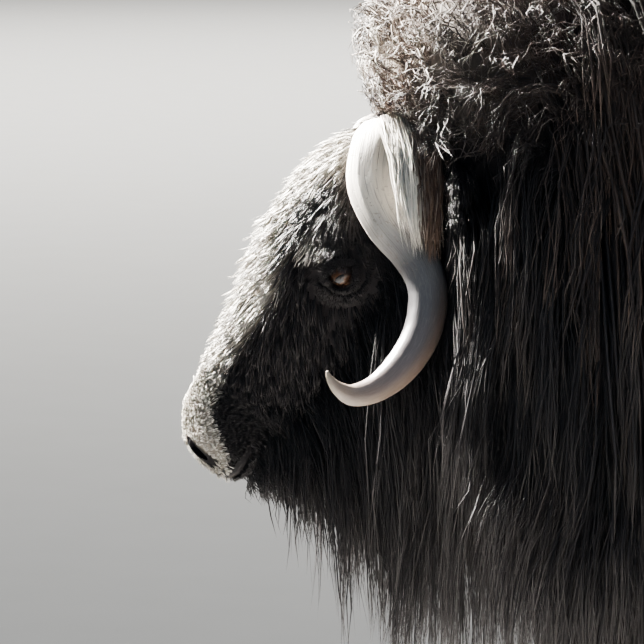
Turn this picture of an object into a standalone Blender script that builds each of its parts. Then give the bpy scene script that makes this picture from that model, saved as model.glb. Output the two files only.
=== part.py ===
"""A life-size muskox cow, standing still with her head held low.

Metres, +Z up. She faces -X, so that her left side looks along -Y. The shapes are laid out
round the photographed head, and settle() then sets the origin on the floor, midway along
and across the whole animal.
"""

import math
import random

import bmesh
import bpy
import numpy as np
from mathutils import Vector
from mathutils.bvhtree import BVHTree

# Gap kept between neighbouring solids, and the height of the soles.
GAP = 0.0003
FLOOR = 0.0

# The head is a straight taper. Its axis starts in the muzzle and climbs back to the poll.
MUZZLE = Vector((-0.983, 0.0, 0.6074))
HEAD_PITCH = math.radians(49)
HEAD_BACK = Vector((math.cos(HEAD_PITCH), 0, math.sin(HEAD_PITCH)))
HEAD_CROWN = Vector((-math.sin(HEAD_PITCH), 0, math.cos(HEAD_PITCH)))
# Along the axis: distance back, height of the forehead side, depth of the jaw side, half width.
HEAD_STATIONS = (
    (-0.0230, 0.016, 0.016, 0.022),
    (-0.0190, 0.030, 0.033, 0.038),
    (-0.0080, 0.045, 0.046, 0.050),
    (0.0120, 0.062, 0.055, 0.057),
    (0.0460, 0.076, 0.063, 0.060),
    (0.0900, 0.090, 0.071, 0.062),
    (0.1500, 0.104, 0.084, 0.070),
    (0.2000, 0.118, 0.094, 0.082),
    (0.2480, 0.140, 0.102, 0.099),
    (0.2930, 0.150, 0.108, 0.112),
    (0.3400, 0.155, 0.114, 0.118),
    (0.3900, 0.153, 0.118, 0.120),
    (0.4400, 0.131, 0.116, 0.122),
    (0.4800, 0.118, 0.112, 0.126),
    (0.5300, 0.112, 0.110, 0.130),
)
HEAD_RINGS, HEAD_SIDES = 24, 22
# How much closer the rings stand towards the muzzle, and how square a section is.
HEAD_CROWDING, HEAD_SQUARENESS = 1.25, 2.35
NOSE_NARROWING = 0.24

# Places on the head: distance back, height above the axis, distance from the middle.
EYE_PLACE = (0.2930, 0.0326, 0.1000)
EYE_RADIUS = 0.0195
LID_THICKNESS = 0.0038
LID_OPENING = (0.0335, 0.0205)
# How far an eye looks back along the head and up, against straight out to its side.
EYE_LOOK = (-0.42, -0.10)
# The lids' opening: reach from the eye's middle and size there at its two ends, and how
# much the almond narrows to its corners.
LID_CUT = ((0.0040, 0.75), (0.0395, 1.35))
LID_PINCH = 0.35
# Swellings and hollows: place, height of the swelling, spread.
HEAD_FORMS = (
    ((0.318, 0.072, 0.104), 0.010, 0.034),
    ((0.293, 0.033, 0.112), 0.009, 0.036),
    ((0.236, 0.030, 0.092), -0.007, 0.036),
    ((0.350, -0.050, 0.120), 0.010, 0.060),
    ((0.004, 0.022, 0.046), 0.006, 0.020),
    ((0.010, -0.014, 0.052), 0.005, 0.024),
    ((0.012, -0.050, 0.020), 0.004, 0.022),
)
MOUTH_BACK, MOUTH_HEIGHT, MOUTH_RISE = 0.080, -0.031, 0.10
MOUTH_OPEN, LIP_DEPTH = 0.0030, 0.009
# The mouth cutter: places along its horseshoe, how far it starts ahead and outside, the
# place that it closes round, and how square its front and sides are.
MOUTH_PLACES, MOUTH_FRONT, MOUTH_OUTSIDE, MOUTH_MIDDLE = 15, 0.020, 0.012, 0.045
MOUTH_SQUARENESS = (0.70, 0.55)
NOSTRIL = (
    (-0.030, 0.006, 0.030),
    (-0.012, 0.015, 0.033),
    (0.002, 0.024, 0.036),
    (0.014, 0.026, 0.041),
)
NOSTRIL_RADII = (0.0085, 0.0080, 0.0060, 0.0022)

# A horn's centre line, from the root in the skull to the tip, with y as the distance from
# the middle, and its half sizes along the head and across it.
HORN_LINE = (
    (-0.7660, 0.030, 1.0190),
    (-0.7690, 0.070, 1.0060),
    (-0.7735, 0.103, 0.9640),
    (-0.7580, 0.134, 0.9210),
    (-0.7310, 0.157, 0.8850),
    (-0.7150, 0.174, 0.8560),
    (-0.7100, 0.190, 0.8260),
    (-0.7190, 0.213, 0.7855),
    (-0.7430, 0.236, 0.7500),
    (-0.7740, 0.256, 0.7260),
    (-0.8030, 0.270, 0.7190),
    (-0.8210, 0.279, 0.7280),
    (-0.8320, 0.284, 0.7410),
    (-0.8360, 0.285, 0.7510),
)
HORN_ALONG = (0.030, 0.036, 0.037, 0.033, 0.0280, 0.0255, 0.0248, 0.0236, 0.0214, 0.0172,
              0.0136, 0.0090, 0.0047, 0.0016)
HORN_ACROSS = (0.022, 0.024, 0.024, 0.022, 0.0210, 0.0208, 0.0210, 0.0205, 0.0190, 0.0160,
               0.0130, 0.0088, 0.0047, 0.0016)
HORN_RINGS, HORN_SIDES = 17, 12

# An ear, with y as the distance from the middle: root, tip, half widths from root to tip.
EAR_ROOT = Vector((-0.6640, 0.105, 0.9900))
EAR_TIP = Vector((-0.6780, 0.212, 0.9200))
EAR_WIDTHS = (0.015, 0.022, 0.034, 0.033, 0.021, 0.006)
EAR_WALL = 0.0045
# The ear's section: degrees from its back that each side folds through, the way the cup
# opens, its depth at root and tip as a share of its width, and where the cup begins.
EAR_FOLD = (-100, -50, 0, 50, 100)
EAR_OPENS = Vector((-0.75, 0.25, -0.35))
EAR_DEPTH = (0.55, 0.65)
CUP_START, CUP_FADE = 0.12, 0.25

# The trunk's core under the coat: middle x and z, tilt of the section, height above the
# middle, depth below it, half width. It runs from the poll to the rump.
TRUNK_STATIONS = (
    (-0.6700, 0.950, 38, 0.130, 0.155, 0.128),
    (-0.6250, 0.930, 31, 0.258, 0.255, 0.175),
    (-0.5200, 0.900, 13, 0.345, 0.350, 0.240),
    (-0.3500, 0.865, 2, 0.370, 0.385, 0.285),
    (-0.1000, 0.820, 0, 0.365, 0.380, 0.305),
    (0.1500, 0.800, 0, 0.350, 0.365, 0.315),
    (0.4200, 0.800, 0, 0.345, 0.350, 0.310),
    (0.6300, 0.805, 0, 0.320, 0.310, 0.280),
    (0.7900, 0.810, 0, 0.255, 0.250, 0.225),
    (0.8800, 0.810, 0, 0.160, 0.180, 0.150),
    (0.9150, 0.805, 0, 0.060, 0.070, 0.060),
)
TRUNK_RINGS, TRUNK_SIDES = 20, 16
TRUNK_SQUARENESS = 2.3

# Cuts that part the trunk, and the line seen from the side that parts head from neck.
NECK_CUT, SHOULDER_CUT, FLANK_CUT = -0.515, -0.050, 0.500
HEAD_LINE = (
    (-1.500, 1.300),
    (-0.860, 1.030),
    (-0.785, 1.045),
    (-0.715, 1.088),
    (-0.555, 0.870),
    (-0.585, 0.600),
    (-0.585, -0.10),
)
RUMP, TAIL_END = 0.915, 1.500
# Beyond the animal: to each side, below the soles, above the back and ahead of the nose.
FAR_SIDE, FAR_BELOW, FAR_ABOVE, FAR_AHEAD = 2.0, -1.0, 3.0, -3.0

# Legs: x and y of the foot, then stations of x shift, height, half length and half width.
LEG_TOP = 0.430
LEG_SIDES = 10
FRONT_FOOT = (-0.400, 0.165)
HIND_FOOT = (0.640, 0.160)
STEP = 0.060
FRONT_LEG = (
    (0.010, LEG_TOP, 0.066, 0.052),
    (0.004, 0.360, 0.052, 0.046),
    (-0.004, 0.300, 0.046, 0.042),
    (-0.002, 0.245, 0.034, 0.034),
    (0.000, 0.180, 0.031, 0.031),
    (0.000, 0.125, 0.039, 0.037),
    (-0.006, 0.092, 0.038, 0.036),
    (-0.016, 0.062, 0.043, 0.043),
)
HIND_LEG = (
    (-0.010, LEG_TOP, 0.074, 0.052),
    (0.030, 0.375, 0.056, 0.046),
    (0.044, 0.330, 0.046, 0.040),
    (0.034, 0.265, 0.036, 0.033),
    (0.022, 0.190, 0.032, 0.031),
    (0.014, 0.128, 0.038, 0.036),
    (0.000, 0.092, 0.037, 0.035),
    (-0.014, 0.060, 0.041, 0.041),
)
# Hooves: sizes of the sole, half the cleft's width at its front, and how far the hoof's
# middle stands ahead of the foot. The levels give height, share of the size and shift back.
HOOF_HEIGHT, HOOF_LENGTH, HOOF_WIDTH, HOOF_AHEAD, TOE_CLEFT = 0.058, 0.120, 0.112, 0.024, 0.006
HOOF_LEVELS = ((0.0, 1.0, 0.0), (0.014, 1.03, 0.001), (HOOF_HEIGHT, 0.76, 0.014))
HOOF_SIDES, HOOF_SQUARENESS = 12, 0.8
# Dew claws: behind the foot, to each side, height and size. The cleft ends this far behind.
CLAW_BACK, CLAW_APART, CLAW_HEIGHT, CLAW_RADIUS = 0.030, 0.024, 0.042, 0.014
CLEFT_END = 0.012

# Tail: a short stub, laid on the rump.
TAIL_LINE = ((0.885, 0.0, 0.945), (0.925, 0.0, 0.925), (0.950, 0.0, 0.880), (0.958, 0.0, 0.825),
             (0.960, 0.0, 0.790))
TAIL_RADII = (0.026, 0.026, 0.023, 0.017, 0.006)

# Locks: share of the full width at each station from root to tip, and the flat section.
LOCK_TAPER = (0.55, 1.00, 0.98, 0.78, 0.44)
LOCK_SECTION = ((1.0, -0.25), (0.0, 0.65), (-1.0, -0.25))
SEED = 7
# Length of a lock's first step against the others, and how deep its root is sunk.
FIRST_STRIDE = 0.4
ROOT_DEPTH = 0.024
# How fast a lock leaves its lean, how strongly it hangs at its root, and its lift there.
LEAN_FADE, HANG_START, LIFT_START = 1.2, 0.35, 0.40
# Room left between a lock's middle and a cut, as a share of its width.
LOCK_MARGIN = 0.2
# How far lengths and widths stray from their row's, how far angles stray, in degrees, and
# how far roots stray along the spine.
LENGTH_LUCK, WIDTH_LUCK, ANGLE_LUCK, ROOT_LUCK = 0.12, 0.11, 4, 0.012
# Sections of the trunk that roots are placed on.
ROOT_SECTIONS = 201

# Rows of locks. Each row: angle from the spine, length, steps, lift, width, thickness, and
# which way a lock starts out: back, outward, up. Every other lock is lifted more.
MANE_ROWS = (
    (8, 0.11, 3, 0.036, 0.120, 0.036, (-0.6, 0.1, 0.3)),
    (36, 0.13, 3, 0.036, 0.120, 0.034, (-0.6, 0.4, 0.2)),
    (64, 0.22, 3, 0.034, 0.115, 0.026, (-0.4, 0.6, 0.1)),
    (92, 0.44, 4, 0.030, 0.110, 0.018, (-0.1, 0.4, 0.0)),
    (128, 0.44, 4, 0.020, 0.105, 0.018, (0.0, 0.1, 0.0)),
)
MANE_LIFT = 1.6
# The mane's woolly rows over the poll: how many, locks a side, how freely they hang, and the
# foremost x that they reach. The rows below them hold fewer locks, which hang straight.
WOOLLY_ROWS, WOOLLY_COUNT, WOOLLY_HANG, WOOLLY_FRONT = 3, 4, 0.3, -0.805
HANGING_COUNT = 3
# Stretch of the trunk's sections that carries the mane.
MANE_STRETCH = (6, 62)
COAT_ROWS = (
    (14, 0.28, 3, 0.028, 0.165, 0.024, (0.45, 0.5, 0.0)),
    (44, 0.38, 4, 0.030, 0.160, 0.022, (0.28, 0.5, 0.0)),
    (76, 0.48, 4, 0.032, 0.152, 0.020, (0.12, 0.4, 0.0)),
    (106, 0.46, 4, 0.022, 0.148, 0.020, (0.04, 0.15, 0.0)),
)
COAT_SPACING, COAT_LIFT = 0.122, 2.0
# Where the first lock of a row stands, as a share of one lock's space: even rows, odd rows.
COAT_STARTS, MANE_STARTS = (0.30, 0.65), (0.15, 0.50)
# From this x the coat begins to fall back over the rump, fully so after the fade.
RUMP_START, RUMP_FADE = 0.68, 0.20
# Locks that fall over the rump and hide the tail's sides: share of the trunk's sections, then
# angle and length.
RUMP_LOCKS = ((0.950, 26, 0.50), (0.940, 80, 0.46))
RUMP_SIZES = (0.165, 0.022, 0.024)
# The beard's rows: angle from the forehead side, first and last place along the head.
BEARD_ROWS = (
    (180, 0.020, 0.400),
    (150, 0.050, 0.440),
    (120, 0.130, 0.480),
    (88, 0.350, 0.500),
)
BEARD_SPACING = 0.095
# Beard locks grow from the chin's size to the throat's over a stretch of the head.
BEARD_START, BEARD_FADE = 0.03, 0.20
BEARD_LENGTH, BEARD_GROWTH = (0.060, 0.420), 1.1
BEARD_WIDTH = (0.056, 0.108)
# Beard locks grown less than this share of the way are short enough for one step fewer.
SHORT_BEARD = 0.4
BEARD_THICKNESS, BEARD_DEPTH = 0.014, 0.016
BEARD_LIFT = (0.026, 0.008)
# The forelock between the horns: place back and across, and the locks' sizes.
FORELOCK = ((0.462, 0.032), (0.462, -0.032), (0.420, 0.0), (0.388, 0.040), (0.388, -0.040))
FORELOCK_LENGTH, FORELOCK_WIDTH, FORELOCK_THICKNESS, FORELOCK_LIFT = 0.115, 0.066, 0.015, 0.006

FUR_DARK = (0.045, 0.032, 0.026)
FUR_BROWN = (0.085, 0.055, 0.038)
FUR_SADDLE = (0.30, 0.22, 0.14)
FUR_LEG = (0.42, 0.36, 0.28)
HORN_TAN = (0.52, 0.43, 0.33)
HOOF_GREY = (0.09, 0.075, 0.065)
EYE_BROWN = (0.030, 0.016, 0.010)


def clear_scene():
    for item in list(bpy.data.objects):
        bpy.data.objects.remove(item)


def material(name, colour, roughness):
    """A plain Principled finish, made once for each name."""
    found = bpy.data.materials.get(name)
    if found:
        return found
    made = bpy.data.materials.new(name)
    made.use_nodes = True
    shader = made.node_tree.nodes["Principled BSDF"]
    shader.inputs["Base Color"].default_value = (*colour, 1)
    shader.inputs["Roughness"].default_value = roughness
    made.diffuse_color = (*colour, 1)
    return made


def smooth(rows, places):
    """Columns of rows read at places of the first column, along a smooth curve."""
    rows = np.array(rows, float)
    places = np.clip(np.array(places, float), rows[0, 0], rows[-1, 0])
    slopes = np.gradient(rows, rows[:, 0], axis=0)
    index = np.clip(np.searchsorted(rows[:, 0], places, "right") - 1, 0, len(rows) - 2)
    span = (rows[index + 1, 0] - rows[index, 0])[:, None]
    t = (places - rows[index, 0])[:, None] / span
    start, end = rows[index], rows[index + 1]
    return ((2 * t**3 - 3 * t**2 + 1) * start + (t**3 - 2 * t**2 + t) * span * slopes[index]
            + (3 * t**2 - 2 * t**3) * end + (t**3 - t**2) * span * slopes[index + 1])


def numbered(rows):
    """Rows with their number put first, so that smooth() can read between them."""
    return [(index, *row) for index, row in enumerate(rows)]


def blend(ends, share):
    return ends[0] + (ends[1] - ends[0]) * share


def link(name, mesh_maker):
    """A new object in the scene, from a bmesh."""
    mesh = bpy.data.meshes.new(name)
    mesh_maker.to_mesh(mesh)
    mesh_maker.free()
    made = bpy.data.objects.new(name, mesh)
    bpy.context.scene.collection.objects.link(made)
    return made


def skin(name, rings):
    """A closed solid over rings of points. A ring of one point is a tip."""
    shape = bmesh.new()
    loops = [[shape.verts.new(point) for point in ring] for ring in rings]
    for low, high in zip(loops, loops[1:]):
        count = max(len(low), len(high))
        for k in range(count):
            corners = [low[k % len(low)], low[(k + 1) % len(low)],
                       high[(k + 1) % len(high)], high[k % len(high)]]
            shape.faces.new(list(dict.fromkeys(corners)))
    for loop in (loops[0], loops[-1]):
        if len(loop) > 2:
            shape.faces.new(loop)
    bmesh.ops.recalc_face_normals(shape, faces=shape.faces)
    bmesh.ops.triangulate(shape, faces=shape.faces)
    return link(name, shape)


def oval(count):
    """Points of a unit circle."""
    return [(math.cos(2 * math.pi * k / count), math.sin(2 * math.pi * k / count))
            for k in range(count)]


def sweep(name, path, wides, thicks, section, facing):
    """A solid swept along a path. Its section's second axis leans to facing at each point."""
    rings = []
    for k, place in enumerate(path):
        ahead = (path[min(k + 1, len(path) - 1)] - path[max(k - 1, 0)]).normalized()
        side = ahead.cross(facing[k]).normalized()
        out = side.cross(ahead)
        if wides[k] == 0:
            rings.append([place])
            continue
        rings.append([place + side * a * wides[k] + out * b * thicks[k] for a, b in section])
    return skin(name, rings)


def combine(target, others, operation):
    """Applies one Boolean of target with a list of objects, which are then removed."""
    group = bpy.data.collections.new("operands")
    bpy.context.scene.collection.children.link(group)
    for other in others:
        for owner in list(other.users_collection):
            owner.objects.unlink(other)
        group.objects.link(other)
    cut = target.modifiers.new("combine", "BOOLEAN")
    cut.operation = operation
    cut.solver = "MANIFOLD"
    cut.operand_type = "COLLECTION"
    cut.collection = group
    bpy.context.view_layer.update()
    graph = bpy.context.evaluated_depsgraph_get()
    made = bpy.data.meshes.new_from_object(target.evaluated_get(graph))
    target.modifiers.clear()
    target.data = made
    for other in others:
        bpy.data.objects.remove(other)
    bpy.data.collections.remove(group)
    return target


def keep_largest(target):
    """Drops every loose scrap and sealed hollow, so that one closed surface is left."""
    shape = bmesh.new()
    shape.from_mesh(target.data)
    left = set(shape.verts)
    best, best_size = set(), -1.0
    while left:
        front = [left.pop()]
        found = set(front)
        while front:
            for edge in front.pop().link_edges:
                for vert in edge.verts:
                    if vert in left:
                        left.remove(vert)
                        found.add(vert)
                        front.append(vert)
        low = np.min([v.co for v in found], axis=0)
        size = float(np.linalg.norm(np.max([v.co for v in found], axis=0) - low))
        if size > best_size:
            best, best_size = found, size
    bmesh.ops.delete(shape, geom=[v for v in shape.verts if v not in best], context="VERTS")
    shape.to_mesh(target.data)
    shape.free()
    return target


def grow(target, room=2 * GAP):
    """Moves every face of a solid out, so that it cuts a socket with a gap all round."""
    shape = bmesh.new()
    shape.from_mesh(target.data)
    for vert in shape.verts:
        vert.co += vert.normal * room * min(vert.calc_shell_factor(), 3)
    shape.to_mesh(target.data)
    shape.free()
    return target


def paint(target, name, colour, roughness):
    target.data.materials.clear()
    target.data.materials.append(material(name, colour, roughness))
    return target


def prism(name, outline, low, high):
    """A flat outline in x and z, made solid between two y."""
    return skin(name, [[Vector((x, y, z)) for x, z in outline] for y in (low, high)])


# The head

def on_head(back, height, across):
    """A place in the head's own frame, as a point."""
    return MUZZLE + HEAD_BACK * back + HEAD_CROWN * height + Vector((0, across, 0))


def head_ring(row):
    """One cross-section of the head, with its swellings and hollows."""
    back, up, down, half = row
    ring = []
    for k in range(HEAD_SIDES):
        angle = 2 * math.pi * k / HEAD_SIDES
        sine, cosine = math.sin(angle), math.cos(angle)
        across = math.copysign(abs(sine) ** (2 / HEAD_SQUARENESS), sine)
        height = math.copysign(abs(cosine) ** (2 / HEAD_SQUARENESS), cosine)
        narrow = 1 - NOSE_NARROWING * max(height, 0) ** 2
        side, tall = half * across * narrow, (up if height > 0 else down) * height
        for place, swell, spread in HEAD_FORMS:
            away = math.dist((back, tall, abs(side)), place) / spread
            raised = swell * math.exp(-away * away)
            side += raised * across
            tall += raised * height * 0.5
        ring.append(on_head(back, tall, side))
    return ring


def head_core():
    places = np.linspace(0, 1, HEAD_RINGS) ** HEAD_CROWDING
    first, last = HEAD_STATIONS[0][0], HEAD_STATIONS[-1][0]
    rows = smooth(HEAD_STATIONS, first + (last - first) * places)
    return skin("head", [head_ring(row) for row in rows])


def eye_centre(side):
    return on_head(EYE_PLACE[0], EYE_PLACE[1], EYE_PLACE[2] * side)


def eye_axis(side):
    """The way an eye looks: out, forward and a little down."""
    back, up = EYE_LOOK
    return (HEAD_BACK * back + Vector((0, side, up))).normalized()


def ball(name, centre, radius, sides=20, rings=12, axis=Vector((0, 0, 1))):
    shape = bmesh.new()
    bmesh.ops.create_uvsphere(shape, u_segments=sides, v_segments=rings, radius=radius)
    turn = axis.to_track_quat("Z", "Y").to_matrix().to_4x4()
    bmesh.ops.transform(shape, matrix=turn, verts=shape.verts)
    bmesh.ops.translate(shape, vec=centre, verts=shape.verts)
    return link(name, shape)


def lid_opening(side):
    """The almond that parts the lids, as a cutter that runs out from the eye."""
    centre, axis = eye_centre(side), eye_axis(side)
    along = (HEAD_BACK - axis * HEAD_BACK.dot(axis)).normalized()
    tall = axis.cross(along).normalized()
    half_long, half_tall = LID_OPENING[0] / 2, LID_OPENING[1] / 2
    rings = []
    for reach, size in LID_CUT:
        ring = []
        for a, b in oval(12):
            pinched = half_tall * b * (1 - LID_PINCH * abs(a) ** 3)
            ring.append(centre + axis * reach + (along * a * half_long + tall * pinched) * size)
        rings.append(ring)
    return skin("lid_cutter", rings)


def mouth_cutter():
    """The line of the mouth: a thin horseshoe that bites into both cheeks and the front."""
    rings = []
    for k in range(MOUTH_PLACES):
        turn = math.pi * k / (MOUTH_PLACES - 1)
        ahead = math.sin(turn) ** MOUTH_SQUARENESS[0]
        back = MOUTH_BACK * (1 - ahead) - MOUTH_FRONT * ahead
        half = smooth(HEAD_STATIONS, [max(back, -0.016)])[0][3]
        across = half * math.copysign(abs(math.cos(turn)) ** MOUTH_SQUARENESS[1], math.cos(turn))
        height = MOUTH_HEIGHT + MOUTH_RISE * max(back, 0)
        away = Vector((back - MOUTH_MIDDLE, across, 0)).normalized()
        ring = []
        for depth, lift in ((MOUTH_OUTSIDE, MOUTH_OPEN), (-LIP_DEPTH, 0), (MOUTH_OUTSIDE, -MOUTH_OPEN)):
            ring.append(on_head(back + away.x * depth, height + lift, across + away.y * depth))
        rings.append(ring)
    return skin("mouth_cutter", rings)


def nostril_cutter(side):
    path = [on_head(back, height, across * side) for back, height, across in NOSTRIL]
    facing = [HEAD_CROWN] * len(path)
    return sweep("nostril", path, NOSTRIL_RADII, NOSTRIL_RADII, oval(10), facing)


def horn_path(side):
    places = np.linspace(0, len(HORN_LINE) - 1, HORN_RINGS)
    rows = [(*p, a, b) for p, a, b in zip(HORN_LINE, HORN_ALONG, HORN_ACROSS)]
    rows = smooth(numbered(rows), places)[:, 1:]
    path = [Vector((x, y * side, z)) for x, y, z in rows[:, :3]]
    return path, rows[:, 3], rows[:, 4]


def horn(name, side):
    """A horn flattened at its base and round at its tip. It hugs the skull, then hooks out."""
    path, along, across = horn_path(side)
    facing = [Vector((0, side, 0.35)).normalized()] * len(path)
    return sweep(name, path, along, across, oval(HORN_SIDES), facing)


def mirrored(place, side):
    """A place or direction on one side of the middle: -1 is the animal's left, 1 its right."""
    return Vector((place.x, place.y * side, place.z))


def ear(name, side):
    """A leaf-shaped cup, open forward and down, with its stalk sunk in the head."""
    root, tip = mirrored(EAR_ROOT, side), mirrored(EAR_TIP, side)
    along = (tip - root).normalized()
    open_to = mirrored(EAR_OPENS, side)
    open_to = (open_to - along * open_to.dot(along)).normalized()
    wide = along.cross(open_to).normalized()
    rings = []
    for k, half in enumerate(EAR_WIDTHS):
        share = k / (len(EAR_WIDTHS) - 1)
        place = root + (tip - root) * share
        cup = min(1.0, max(0.0, (share - CUP_START) / CUP_FADE))
        wall = min(EAR_WALL, half / 2)
        thin = (half - wall) / half
        outer, inner = [], []
        for angle in EAR_FOLD:
            turn = math.radians(angle)
            across, back = math.sin(turn) * half, math.cos(turn) * half * blend(EAR_DEPTH, share)
            outer.append(place + wide * across - open_to * back)
            floor = back * thin * cup - (1 - cup) * half / 2
            inner.append(place + wide * across * thin - open_to * floor)
        rings.append(outer + inner[::-1])
    return skin(name, rings)


# The trunk and legs

def trunk_rows(count):
    return smooth(numbered(TRUNK_STATIONS), np.linspace(0, len(TRUNK_STATIONS) - 1, count))


def trunk_point(row, angle):
    """A place on one section of the trunk, at an angle from the top, left for positive."""
    _, x, z, tilt, up, down, half = row
    crown = Vector((-math.sin(math.radians(tilt)), 0, math.cos(math.radians(tilt))))
    sine, cosine = math.sin(angle), math.cos(angle)
    across = half * math.copysign(abs(sine) ** (2 / TRUNK_SQUARENESS), sine)
    height = math.copysign(abs(cosine) ** (2 / TRUNK_SQUARENESS), cosine)
    return Vector((x, -across, z)) + crown * (up if height > 0 else down) * height


def trunk_core(name="trunk"):
    turns = [2 * math.pi * k / TRUNK_SIDES for k in range(TRUNK_SIDES)]
    return skin(name, [[trunk_point(row, a) for a in turns] for row in trunk_rows(TRUNK_RINGS)])


def leg_places():
    """Name, foot place, side and stations of each leg. A step sets fore and hind apart."""
    for end, foot, stations in (("front", FRONT_FOOT, FRONT_LEG), ("hind", HIND_FOOT, HIND_LEG)):
        for word, side in (("left", -1), ("right", 1)):
            forward = side * STEP / 2 * (1 if end == "front" else -1)
            yield end, word, side, Vector((foot[0] + forward, foot[1] * side, FLOOR)), stations


def leg(name, foot, stations):
    """A leg down to the hoof, where it ends a gap above it."""
    rings = []
    for shift, height, long, wide in stations:
        centre = Vector((foot.x + shift, foot.y, max(height, HOOF_HEIGHT + GAP)))
        rings.append([centre + Vector((a * long, b * wide, 0)) for a, b in oval(LEG_SIDES)])
    return skin(name, rings)


def hoof(name, foot):
    """A broad, round hoof with a flat sole, cleft into two toes, with dew claws behind."""
    middle = foot - Vector((HOOF_AHEAD, 0, 0))
    rings = []
    for level, size, back in HOOF_LEVELS:
        ring = []
        for a, b in oval(HOOF_SIDES):
            long = math.copysign(abs(a) ** HOOF_SQUARENESS, a) * HOOF_LENGTH / 2 * size
            wide = math.copysign(abs(b) ** HOOF_SQUARENESS, b) * HOOF_WIDTH / 2 * size
            ring.append(middle + Vector((back + long, wide, level)))
        rings.append(ring)
    body = skin(name, rings)
    claws = [ball("claw", foot + Vector((CLAW_BACK, CLAW_APART * k, CLAW_HEIGHT)), CLAW_RADIUS, 6, 3)
             for k in (-1, 1)]
    combine(body, claws, "UNION")
    cleft = []
    for level in (-GAP, HOOF_HEIGHT + GAP):
        front = middle + Vector((-HOOF_LENGTH, 0, level))
        apart = Vector((0, TOE_CLEFT, 0))
        cleft.append([front - apart, front + apart, middle + Vector((CLEFT_END, 0, level))])
    return keep_largest(combine(body, [skin("cleft", cleft)], "DIFFERENCE"))


# The coat's locks

def comb(surface, root, lean, length, steps, lift, limits, hang=1.0, depth=ROOT_DEPTH):
    """A lock's path from a root sunk in the body: it starts along its lean, then hangs down.

    Each point is kept above the body by a share of lift, and between two limits along x.
    """
    spot, normal, _, _ = surface.find_nearest(root)
    path, facing = [spot - normal * depth], [normal.copy()]
    place = spot.copy()
    for k in range(1, steps + 1):
        share = k / steps
        way = lean * (1 - share) ** LEAN_FADE + Vector((0, 0, -1)) * hang * (HANG_START + share)
        flat = way - normal * min(way.dot(normal), 0)
        stride = length / (steps - 1 + FIRST_STRIDE) * (FIRST_STRIDE if k == 1 else 1)
        place = place + flat.normalized() * stride
        spot, normal, _, _ = surface.find_nearest(place)
        rise = (place - spot).dot(normal)
        want = lift * (LIFT_START + (1 - LIFT_START) * share)
        if rise < want:
            place = spot + normal * want
        place.x = min(max(place.x, limits[0]), limits[1])
        path.append(place.copy())
        facing.append((normal + facing[-1]).normalized())
    return path, facing


def lock(path, facing, width, thickness):
    """One flat, tapered lock along a combed path."""
    steps = len(path) - 1
    stations = len(LOCK_TAPER)
    shares = np.interp(np.linspace(0, stations - 1, steps), range(stations), LOCK_TAPER)
    wides = [width / 2 * s for s in shares] + [0]
    thicks = [thickness * (0.55 + 0.45 * s) for s in shares] + [0]
    return sweep("lock", path, wides, thicks, LOCK_SECTION, facing)


def surface_of(*shapes):
    """One combing surface over several solids."""
    shape = bmesh.new()
    for item in shapes:
        shape.from_mesh(item.data)
    tree = BVHTree.FromBMesh(shape)
    shape.free()
    return tree


def section_at(rows, column, value):
    """The row whose named column comes nearest to a value."""
    return rows[int(np.argmin(np.abs(rows[:, column] - value)))]


def stray(luck, share):
    """A factor near one."""
    return 1 + luck.uniform(-share, share)


def torso_locks(surface, luck, low, high, side):
    """Rows of locks from the spine down to the skirt, for one length and side of the torso."""
    rows = trunk_rows(ROOT_SECTIONS)
    made = []
    for tier, (angle, length, steps, lift, width, thickness, lean) in enumerate(COAT_ROWS):
        count = round((high - low) / COAT_SPACING)
        for k in range(count):
            x = low + (high - low) * (k + COAT_STARTS[tier % 2]) / count
            x += luck.uniform(-ROOT_LUCK, ROOT_LUCK)
            turn = math.radians(angle + luck.uniform(-ANGLE_LUCK, ANGLE_LUCK)) * side
            root = trunk_point(section_at(rows, 1, x), turn)
            rear = max(0.0, (x - RUMP_START) / RUMP_FADE)
            start = Vector((lean[0] + 0.9 * rear, -lean[1] * side * (1 - 0.6 * rear), lean[2]))
            reach = length * stray(luck, LENGTH_LUCK) * (1 + 0.25 * rear)
            wide = width * stray(luck, WIDTH_LUCK)
            over = lift * (1.0 if k % 2 else COAT_LIFT)
            margin = wide * LOCK_MARGIN
            edges = (low + margin, high - margin if high < RUMP else FAR_SIDE)
            path, facing = comb(surface, root, start, reach, steps, over, edges)
            made.append(lock(path, facing, wide, thickness))
    return made


def rump_locks(surface, luck, side):
    """Long locks that hang straight down behind, from the end of the back."""
    rows = trunk_rows(ROOT_SECTIONS)
    width, thickness, lift = RUMP_SIZES
    made = []
    for share, angle, length in RUMP_LOCKS:
        root = trunk_point(rows[round(share * (ROOT_SECTIONS - 1))], math.radians(angle) * side)
        start = Vector((1.4, -0.3 * side, 0))
        path, facing = comb(surface, root, start, length * stray(luck, LENGTH_LUCK), 4, lift,
                            (FLANK_CUT, FAR_SIDE))
        made.append(lock(path, facing, width, thickness))
    return made


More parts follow.
